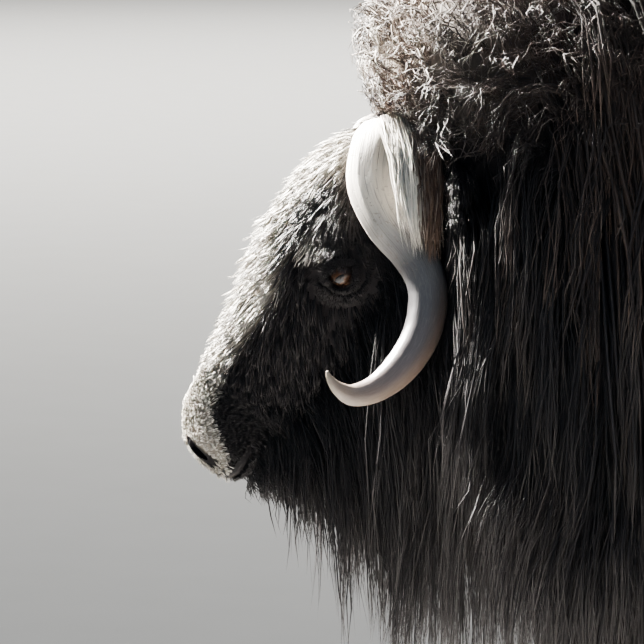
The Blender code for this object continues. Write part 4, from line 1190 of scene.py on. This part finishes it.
FACE_BACKS = (-0.02, 0.03, 0.08, 0.13, 0.185, 0.24, 0.30, 0.40, 0.50)
FACE_TOP = (0.008, 0.012, 0.020, 0.034, 0.052, 0.042, 0.040, 0.042, 0.050)
FACE_SIDE = (0.008, 0.013, 0.026, 0.042, 0.055, 0.060, 0.060, 0.075, 0.100)
FACE_LIFTS = (0.0025, 0.004, 0.006, 0.009, 0.013, 0.010, 0.009, 0.010, 0.014)
FACE_SHORT = Tuft(5, 3, 0.0012, 0.6, 0.0035, 0.15, 0.0005, 0.6, 0.35, 0.0015)
FACE_LONG = Tuft(4, 4, 0.0015, 0.6, 0.0055, 0.25, 0.0015, 0.8, 0.40, 0.004)
BROW_HAIR = Tuft(7, 5, 0.0013, 0.6, 0.004, 0.3, 0.0015, 1.0, 0.35, 0.004)


def face_hair(spot, back, angle, side, eye, luck):
    """Length, lift and lie of the hair at one place on the face."""
    top = 1 - float(fade(angle, 35, 80))
    under = float(fade(angle, 100, 150))
    cheek = float(np.interp(back, FACE_BACKS, FACE_SIDE))
    crown = float(np.interp(back, FACE_BACKS, FACE_TOP))
    length = blend((cheek, crown), top)
    down_cheek = Vector((0.10 + 0.45 * float(fade(back, 0.20, 0.36)), 0, -1))
    ahead = -HEAD_BACK + Vector((0, 0.25 * side, 0))
    muzzle = 1 - float(fade(back, 0.04, 0.11))
    swept = HEAD_BACK * 0.8 - HEAD_CROWN * 0.6
    way = blend((down_cheek, ahead), top)
    way = blend((way, swept * (1 - top) + HEAD_BACK * top * 0.5 + Vector((0, 0.6 * side, 0))), muzzle)
    way = blend((way, -HEAD_CROWN * 0.7 + Vector((0, 0, -0.6))), under)
    away = spot - eye
    near = 1 - float(fade(away.length, 0.024, 0.062))
    if near > 0:
        axis = eye_axes(side)[0]
        ray = (away - axis * away.dot(axis)).normalized()
        way = blend((way.normalized(), ray), near)
        length = blend((length, 0.009), near ** 0.7)
    way = (way.normalized() + Vector(luck.normal(size=3)) * 0.16).normalized()
    lift = float(np.interp(back, FACE_BACKS, FACE_LIFTS)) * (0.55 + 0.65 * luck.random())
    lift = blend((lift, 0.0022), near)
    return length * (0.75 + 0.5 * luck.random()), lift, way


LID_HAIR, LID_COUNT, LASHES = (1.20, 2.50), 26, 26


def lid_guides(surface, luck, side):
    """Short hair that rings the eye from the lids' edge out, and the upper lid's lashes."""
    made = []
    eye = eye_centre(side)
    axis, along, tall = eye_axes(side)

    def place(turn, share):
        u, v = math.cos(turn), math.sin(turn)
        v *= 1 - LID_PINCH * abs(u) ** 3 / share
        return along * u * share * LID_OPENING[0] / 2 + tall * v * share * LID_OPENING[1] / 2

    for share in np.arange(*LID_HAIR, 0.12):
        count = round(LID_COUNT * share)
        for k in range(count):
            spot = place(2 * math.pi * (k + luck.random()) / count, share)
            way = spot.normalized() + DOWN * 0.30 + Vector(luck.normal(size=3)) * 0.14
            length = float(np.interp(share, LID_HAIR, (0.0045, 0.014))) * (0.8 + 0.5 * luck.random())
            root = eye + spot + axis * EYE_RADIUS
            made.append(comb(surface, root, way, length, 4, 0.0020, 0.0, 0.35, 0.30))
    for k in range(LASHES):
        turn = math.pi * (0.10 + 0.80 * (k + luck.random()) / LASHES)
        spot = place(turn, 1.10)
        way = axis * 0.9 + spot.normalized() * 0.5 + DOWN * 0.3 + Vector(luck.normal(size=3)) * 0.1
        made.append(comb(surface, eye + spot + axis * EYE_RADIUS, way, 0.013, 4, 0.0060, 0.5, 0.8, 0.35))
    return made


# The brow's line: distance back and height at its front and rear end.
BROW, BROW_COUNT = ((0.284, 0.318), (0.100, 0.062)), 34


def brow_guides(surface, luck, side):
    """A fringe of longer hair on the brow, over the front of the eye."""
    made = []
    for k in range(BROW_COUNT):
        share = (k + luck.random()) / BROW_COUNT
        back, height = (float(np.interp(share, (0, 1), ends)) for ends in BROW)
        root = on_head(back, height, EYE_PLACE[2] * 1.3 * side)
        way = -HEAD_BACK * 0.5 + DOWN * 0.9 + Vector((0, 0.4 * side, 0)) + Vector(luck.normal(size=3)) * 0.15
        made.append(comb(surface, root, way, 0.022 * (0.8 + 0.5 * luck.random()), 5, 0.012, 0.3, 0.6, 0.4))
    return made


LEG_HAIR = Tuft(4, 3, 0.0026, 0.5, 0.007, 0.2, 0.001, 0.6, 0.3, 0.002)


def leg_guides(surface, luck):
    """Short cream hair that lies down the legs and fringes the hooves."""
    made = []
    for _, foot, stations in leg_places():
        for level in np.arange(0.052, 0.47, 0.020):
            order = sorted((row[1], row[0], row[2], row[3]) for row in stations)
            _, shift, long, wide = smooth(order, [level])[0]
            count = round(math.pi * (long + wide) / 0.019)
            for k in range(count):
                turn = 2 * math.pi * (k + luck.random()) / count
                out = Vector((math.cos(turn), math.sin(turn), 0))
                root = Vector((foot.x + shift + out.x * long, foot.y + out.y * wide,
                               level + luck.random() * 0.012))
                length = blend((0.018, 0.045), float(fade(level, 0.15, 0.42)))
                made.append(comb(surface, root, out * 0.1 + Vector((0.1, 0, -0.8)),
                                 length * (0.7 + 0.6 * luck.random()), 4, 0.006 + 0.1 * length))
    return made


# Guides round the tail and rows of them along it.
TAIL_ROUND, TAIL_ROWS = 14, 26
TAIL_HAIR = Tuft(5, 4, 0.0028, 0.5, 0.008, 0.4, 0.003, 1.0, 0.3, 0.006)


def tail_guides(surface, luck):
    made = []
    rows = [(*place, radius) for place, radius in zip(TAIL_LINE, TAIL_RADII)]
    rows = smooth(numbered(rows), np.linspace(0.3, len(rows) - 1, TAIL_ROWS))[:, 1:]
    for x, y, z, radius in rows:
        for k in range(TAIL_ROUND):
            turn = 2 * math.pi * (k + luck.random()) / TAIL_ROUND
            root = Vector((x + radius * 0.7 * math.cos(turn), radius * math.sin(turn), z))
            lean = Vector((math.cos(turn) * 0.3, math.sin(turn) * 0.3, -0.5))
            made.append(comb(surface, root, lean, 0.10 * (0.7 + 0.5 * luck.random()), 6, 0.014))
    return made


# Finishes

class Value:
    """A number in a node tree, so that shader maths reads as arithmetic."""

    def __init__(self, finish, socket):
        self.finish, self.socket = finish, socket

    def _join(self, operation, first, second):
        return self.finish.value("ShaderNodeMath", {"operation": operation}, {0: first, 1: second})

    def __add__(self, other):
        return self._join("ADD", self, other)

    def __sub__(self, other):
        return self._join("SUBTRACT", self, other)

    def __rsub__(self, other):
        return self._join("SUBTRACT", other, self)

    def __mul__(self, other):
        return self._join("MULTIPLY", self, other)

    def __pow__(self, other):
        return self._join("POWER", self, other)

    __radd__, __rmul__ = __add__, __mul__


class Finish:
    """A material under construction."""

    def __init__(self, name, roughness):
        self.material = bpy.data.materials.new(name)
        self.material.use_nodes = True
        self.tree = self.material.node_tree
        self.shader = self.tree.nodes["Principled BSDF"]
        self.shader.inputs["Roughness"].default_value = roughness

    def add(self, kind, settings, inputs):
        node = self.tree.nodes.new(kind)
        for title, setting in settings.items():
            setattr(node, title, setting)
        for title, value in inputs.items():
            self.feed(node.inputs[title], value)
        return node

    def feed(self, socket, value):
        value = value.socket if isinstance(value, Value) else value
        if isinstance(value, bpy.types.NodeSocket):
            self.tree.links.new(value, socket)
        else:
            socket.default_value = value

    def value(self, kind, settings, inputs, output=0):
        return Value(self, self.add(kind, settings, inputs).outputs[output])

    def number(self, name):
        """A number kept on the piece's points."""
        return self.value("ShaderNodeAttribute", {"attribute_name": name}, {}, "Fac")

    def vector(self, name):
        return self.add("ShaderNodeAttribute", {"attribute_name": name}, {}).outputs["Vector"]

    def place(self):
        return self.add("ShaderNodeTexCoord", {}, {}).outputs["Object"]

    def noise(self, scale, detail, where):
        inputs = {"Scale": scale, "Detail": detail, "Vector": where}
        return self.value("ShaderNodeTexNoise", {}, inputs, "Fac")

    def ramp(self, value, tones):
        """A colour band. tones are places and colours, in order."""
        node = self.add("ShaderNodeValToRGB", {}, {0: value})
        bands = node.color_ramp.elements
        for place, tone in tones[1:-1]:
            bands.new(place).color = (*tone, 1)
        bands[0].color, bands[len(bands) - 1].color = (*tones[0][1], 1), (*tones[-1][1], 1)
        return node.outputs[0]

    def step(self, value, start, end):
        settings = {"interpolation_type": "SMOOTHSTEP"}
        inputs = {"Value": value, "From Min": start, "From Max": end}
        return self.value("ShaderNodeMapRange", settings, inputs)

    def mix(self, share, first, second):
        inputs = {0: share, 6: first, 7: second}
        return self.add("ShaderNodeMix", {"data_type": "RGBA"}, inputs).outputs[2]

    def bump(self, height, depth, strength=1.0):
        node = self.add("ShaderNodeBump", {}, {"Height": height, "Distance": depth, "Strength": strength})
        self.tree.links.new(node.outputs["Normal"], self.shader.inputs["Normal"])

    def colour(self, value):
        self.feed(self.shader.inputs["Base Color"], value)

    def put_on(self, item):
        item.data.materials.clear()
        item.data.materials.append(self.material)


DARK_ROOT, DARK_TIP = (0.0055, 0.0055, 0.0065, 1), (0.021, 0.0175, 0.0175, 1)
WARM_TONE, PALE_ROOT, PALE_TIP = (0.085, 0.046, 0.028, 1), (0.26, 0.225, 0.18, 1), (0.74, 0.70, 0.62, 1)


def hair_finish():
    """Hair: darker at the root, paler at the tip, with the coat's pale and warm tones and painted sunlight.
    """
    made = Finish("hair", 0.58)
    made.shader.inputs["Specular IOR Level"].default_value = 0.22
    along, luck = made.number("along"), made.number("luck")
    dark = made.mix(along ** 1.4, DARK_ROOT, DARK_TIP)
    # The warm and pale numbers carry the coat's own tones and painted sunlight on the face and behind the
    # horns' bases.
    warm = made.mix(made.number("warm") * (along * 0.7 + 0.3), dark, WARM_TONE)
    pale = made.mix(along, PALE_ROOT, PALE_TIP)
    share = made.step(made.number("pale") + (luck - 0.5) * 0.35, 0.12, 0.88)
    tone = made.mix(share, warm, pale)
    varied = made.add("ShaderNodeHueSaturation", {}, {"Value": luck * 0.9 + 0.55, "Color": tone})
    made.colour(varied.outputs[0])
    return made


def skin_finish():
    """The skin under the hair, with the same pale and warm tones and painted sunlight, and short hair as fine
    bump.
    """
    made = Finish("skin", 0.68)
    made.shader.inputs["Specular IOR Level"].default_value = 0.06
    where = made.place()
    stretched = made.add("ShaderNodeMapping", {}, {"Vector": where, "Scale": (1.0, 1.0, 0.35)}).outputs[0]
    fine = made.noise(420, 4, stretched)
    dark = made.mix(fine, DARK_ROOT, DARK_TIP)
    # The warm and pale numbers carry the coat's own tones and painted sunlight on the face and behind the
    # horns' bases.
    warm = made.mix(made.number("warm") * 0.5, dark, WARM_TONE)
    tone = made.mix(made.number("pale") * 0.9, warm, made.mix(fine, PALE_ROOT, (0.40, 0.35, 0.29, 1)))
    made.colour(made.mix(made.number("bare"), tone, (0.0045, 0.004, 0.0045, 1)))
    made.bump(fine, 0.0012, 0.6)
    return made


# The iris round the pupil and at its rim, the dark skin of the eyeball, and the pupil.
IRIS_MIDDLE, IRIS_RIM = (0.040, 0.017, 0.007, 1), (0.016, 0.007, 0.004, 1)
EYE_OUTER, PUPIL = (0.012, 0.009, 0.008, 1), (0.002, 0.002, 0.003, 1)


def eye_finish():
    """A dark amber iris with a level oval pupil, under a wet cornea."""
    made = Finish("eye", 0.22)
    made.shader.inputs["Coat Weight"].default_value = 0.12
    made.shader.inputs["Coat Roughness"].default_value = 0.03
    made.shader.inputs["Specular IOR Level"].default_value = 0.25
    parts = made.add("ShaderNodeSeparateXYZ", {}, {0: made.vector("look")})
    u, v = Value(made, parts.outputs[0]), Value(made, parts.outputs[1])
    reach = (u * u + v * v) ** 0.5
    rays = made.noise(14, 3, made.vector("look"))
    iris = made.mix(made.step(reach + rays * 0.15, 0.35, 0.72), IRIS_MIDDLE, IRIS_RIM)
    outer = made.mix(made.step(reach, 0.66, 0.76), iris, EYE_OUTER)
    pupil = (u * u * 5.0 + v * v * 20.0) ** 0.5
    made.colour(made.mix(made.step(pupil, 1.05, 0.92), outer, PUPIL))
    return made


# The horn's tones from root to tip, and those of its outer, rear edge.
HORN_TONES = ((0.0, (0.66, 0.60, 0.51)), (0.21, (0.60, 0.545, 0.46)), (0.28, (0.29, 0.27, 0.25)),
              (0.35, (0.090, 0.086, 0.086)), (0.48, (0.070, 0.067, 0.072)), (0.60, (0.095, 0.080, 0.082)),
              (0.72, (0.140, 0.103, 0.090)), (0.84, (0.19, 0.142, 0.11)), (1.0, (0.27, 0.225, 0.175)))
HORN_EDGE = ((0.0, (0.26, 0.21, 0.17)), (0.5, (0.13, 0.082, 0.056)), (0.64, (0.20, 0.135, 0.095)),
             (0.80, (0.25, 0.19, 0.14)), (1.0, (0.30, 0.25, 0.19)))


def horn_finish():
    """Rough pale horn at the base, dark grey along the shaft and brown towards the tip."""
    made = Finish("horn", 0.42)
    grow = made.vector("grow")
    parts = made.add("ShaderNodeSeparateXYZ", {}, {0: grow})
    share = Value(made, parts.outputs[2])
    long = made.add("ShaderNodeMapping", {}, {"Vector": grow, "Scale": (5.0, 5.0, 3.0)}).outputs[0]
    streaks = made.noise(3.2, 6, long)
    fine = made.noise(16, 3, long)
    ramp = made.ramp(share + (streaks - 0.5) * 0.08, HORN_TONES)
    rough = made.step(share, 0.50, 0.22)
    rear = made.step(Value(made, parts.outputs[0]) + (streaks - 0.5) * 0.6, -0.20, -0.95)
    rear = rear * made.step(share, 0.36, 0.52)
    tone = made.mix(rear * 0.75, ramp, made.ramp(share, HORN_EDGE))
    cracks = made.step(streaks, 0.47, 0.34) * (rough * 0.40 + 0.30)
    tone = made.mix(cracks, tone, (0.075, 0.062, 0.056, 1))
    pits = made.step(made.noise(190, 2, made.place()), 0.60, 0.72) * rough
    tone = made.mix(pits * 0.55, tone, (0.20, 0.155, 0.12, 1))
    made.colour(made.mix(made.step(fine, 0.50, 0.75) * 0.18, tone, (0.58, 0.53, 0.46, 1)))
    made.feed(made.shader.inputs["Roughness"], rough * 0.30 + 0.34)
    made.bump(streaks * (rough * 0.6 + 0.2) + fine * 0.25 * (rough + 0.1) - pits * 0.3, 0.0018, 0.8)
    return made


def hoof_finish():
    made = Finish("hoof", 0.55)
    where = made.place()
    rings = made.add("ShaderNodeMapping", {}, {"Vector": where, "Scale": (3.0, 3.0, 60.0)}).outputs[0]
    bands, grain = made.noise(3, 3, rings), made.noise(160, 4, where)
    tone = made.mix(bands, (0.035, 0.028, 0.024, 1), (0.13, 0.105, 0.085, 1))
    made.colour(made.mix(grain * 0.4, tone, (0.17, 0.14, 0.11, 1)))
    made.bump(bands + grain * 0.4, 0.0010, 0.7)
    return made


def floor_finish():
    made = Finish("floor", 0.85)
    grain = made.noise(6, 4, made.place())
    made.colour(made.mix(grain, (0.21, 0.208, 0.203, 1), (0.23, 0.228, 0.223, 1)))
    return made


# Camera, light and floor

def place_camera():
    """The photograph's camera, on her left, looking down a little at the head."""
    eye = sum(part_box("eye_left"), Vector()) / 2
    away = Vector((0, -math.cos(CAMERA_RISE), math.sin(CAMERA_RISE)))
    right = Vector((1, 0, 0))
    up = right.cross(-away)
    pixel = FRAME_WIDTH / FRAME_PIXELS
    middle = FRAME_PIXELS / 2
    target = eye - right * (EYE_PIXEL[0] - middle) * pixel + up * (EYE_PIXEL[1] - middle) * pixel
    lens = bpy.data.cameras.new("camera")
    lens.sensor_width = SENSOR
    lens.lens = SENSOR * CAMERA_AWAY / FRAME_WIDTH
    made = bpy.data.objects.new("camera", lens)
    made.location = target + away * CAMERA_AWAY
    made.rotation_euler = (-away).to_track_quat("-Z", "Y").to_euler()
    bpy.context.scene.collection.objects.link(made)
    bpy.context.scene.camera = made


def lamp(name, place, aim, size, power, tone, spread=180):
    light = bpy.data.lights.new(name, "AREA")
    light.size, light.energy, light.color = size, power, tone
    light.spread = math.radians(spread)
    made = bpy.data.objects.new(name, light)
    made.location = place
    made.rotation_euler = (aim - place).to_track_quat("-Z", "Y").to_euler()
    bpy.context.scene.collection.objects.link(made)


# The room's own light on the animal, and how pale the room looks behind her.
WORLD_LIGHT, WORLD_LOOK = ((0.60, 0.78, 1.0, 1), 0.30), ((0.90, 0.94, 1.0, 1), 0.95)


def light_studio():
    head = sum(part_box("eye_left"), Vector()) / 2
    body = Vector((0, 0, 0.7))
    lamp("key", head + Vector((-2.2, 2.5, 2.4)), head, 0.9, 620, (1.0, 0.96, 0.90), 36)
    lamp("fill", head + Vector((-0.4, -4.0, 1.2)), head, 3.0, 24, (0.40, 0.66, 1.0))
    lamp("top", Vector((0.6, -0.6, 4.2)), body, 3.2, 60, (1.0, 0.99, 0.97))
    lamp("back", Vector((2.6, 3.2, 2.8)), body, 2.4, 90, (0.95, 0.97, 1.0))
    lamp("backdrop", Vector((-1, 15, 9)), Vector((-1.001, 15, 0)), 14, 9000, (1.0, 0.97, 0.91), 130)
    world = bpy.data.worlds.new("studio")
    world.use_nodes = True
    nodes, links = world.node_tree.nodes, world.node_tree.links
    dim, pale, ray, both = (nodes.new("ShaderNodeBackground"), nodes["Background"],
                            nodes.new("ShaderNodeLightPath"), nodes.new("ShaderNodeMixShader"))
    dim.inputs[0].default_value, dim.inputs[1].default_value = WORLD_LIGHT
    pale.inputs[0].default_value, pale.inputs[1].default_value = WORLD_LOOK
    links.new(ray.outputs["Is Camera Ray"], both.inputs[0])
    links.new(dim.outputs[0], both.inputs[1])
    links.new(pale.outputs[0], both.inputs[2])
    links.new(both.outputs[0], nodes["World Output"].inputs[0])
    bpy.context.scene.world = world


def lay_floor():
    shape = bmesh.new()
    bmesh.ops.create_grid(shape, x_segments=60, y_segments=60, size=30)
    item = link("floor", shape)
    floor_finish().put_on(item)


# The whole animal

def dress(item, slot, finish, *nodes):
    """Moves a piece to its place, gives it its finish and body, and hides the imported parts named in nodes.
    slot is not used.
    """
    settled(item)
    finish.put_on(item)
    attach(item, "root")
    if nodes:
        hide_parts(*nodes)


def main():
    place_camera()
    luck = np.random.default_rng(SEED)
    skin = build_skin()
    surface = surface_of(skin)
    for title, values in markings_and_painted_sun(points_of(skin)).items():
        note(skin, title, values)
    note(skin, "bare", bare_places(points_of(skin)))
    skin.data.shade_smooth()
    hair = hair_finish()
    coats = []
    for side, word in ((-1, "left"), (1, "right")):
        woolly, hanging = mane_guides(surface, luck, side)
        short, long = face_guides(surface, luck, side)
        coats += [
            (f"mane_wool_{word}", woolly, WOOL, trunk_unwrap, "dark_fur"),
            (f"mane_hair_{word}", hanging, MANE_HAIR, trunk_unwrap, "dark_fur"),
            (f"beard_{word}", beard_guides(surface, luck, side), BEARD, head_unwrap, "dark_fur"),
            (f"face_short_{word}", short + lid_guides(surface, luck, side),
             FACE_SHORT, head_unwrap, "dark_fur"),
            (f"face_long_{word}", long, FACE_LONG, head_unwrap, "dark_fur"),
            (f"brow_{word}", brow_guides(surface, luck, side), BROW_HAIR, head_unwrap, "dark_fur"),
            (f"horn_fringe_{word}", fringe_guides(luck, side), FRINGE_HAIR, head_unwrap, "dark_fur"),
            (f"ear_hair_{word}", ear_guides(surface, luck, side), EAR_HAIR, head_unwrap, "dark_fur"),
            (f"shoulder_coat_{word}", body_guides(surface, luck, NECK_CUT, SHOULDER_CUT, side),
             LONG_COAT, trunk_unwrap, "brown_fur"),
            (f"flank_coat_{word}", body_guides(surface, luck, SHOULDER_CUT, FLANK_CUT, side),
             LONG_COAT, trunk_unwrap, "brown_fur"),
            (f"haunch_coat_{word}", body_guides(surface, luck, FLANK_CUT, RUMP, side),
             LONG_COAT, trunk_unwrap, "brown_fur"),
        ]
    coats.append(("leg_hair", leg_guides(surface, luck), LEG_HAIR, leg_unwrap, "pale_fur"))
    coats.append(("tail_hair", tail_guides(surface, luck), TAIL_HAIR, trunk_unwrap, "brown_fur"))
    for name, guides, kind, unwrap, slot in coats:
        item = grow_tufts(name, guides, kind, luck, unwrap, markings_and_painted_sun)
        dress(item, slot, hair)
    flesh = [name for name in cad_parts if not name.startswith(("eye", "horn", "hoof"))]
    dress(skin, "dark_fur", skin_finish(), *flesh)
    eye_look, horn_look, hoof_look = eye_finish(), horn_finish(), hoof_finish()
    for side, word in ((-1, "left"), (1, "right")):
        for item, finish, slot in ((eyeball(side), eye_look, "eye"), (horn(side), horn_look, "horn")):
            item.data.shade_smooth()
            dress(item, slot, finish, f"{slot}_{word}")
    for name, foot, _ in leg_places():
        item = hoof(f"hoof_{name}", foot)
        item.data.shade_smooth()
        item.data.set_sharp_from_angle(angle=math.radians(35))
        dress(item, "hoof", hoof_look, f"hoof_{name}")
    light_studio()
    lay_floor()


main()
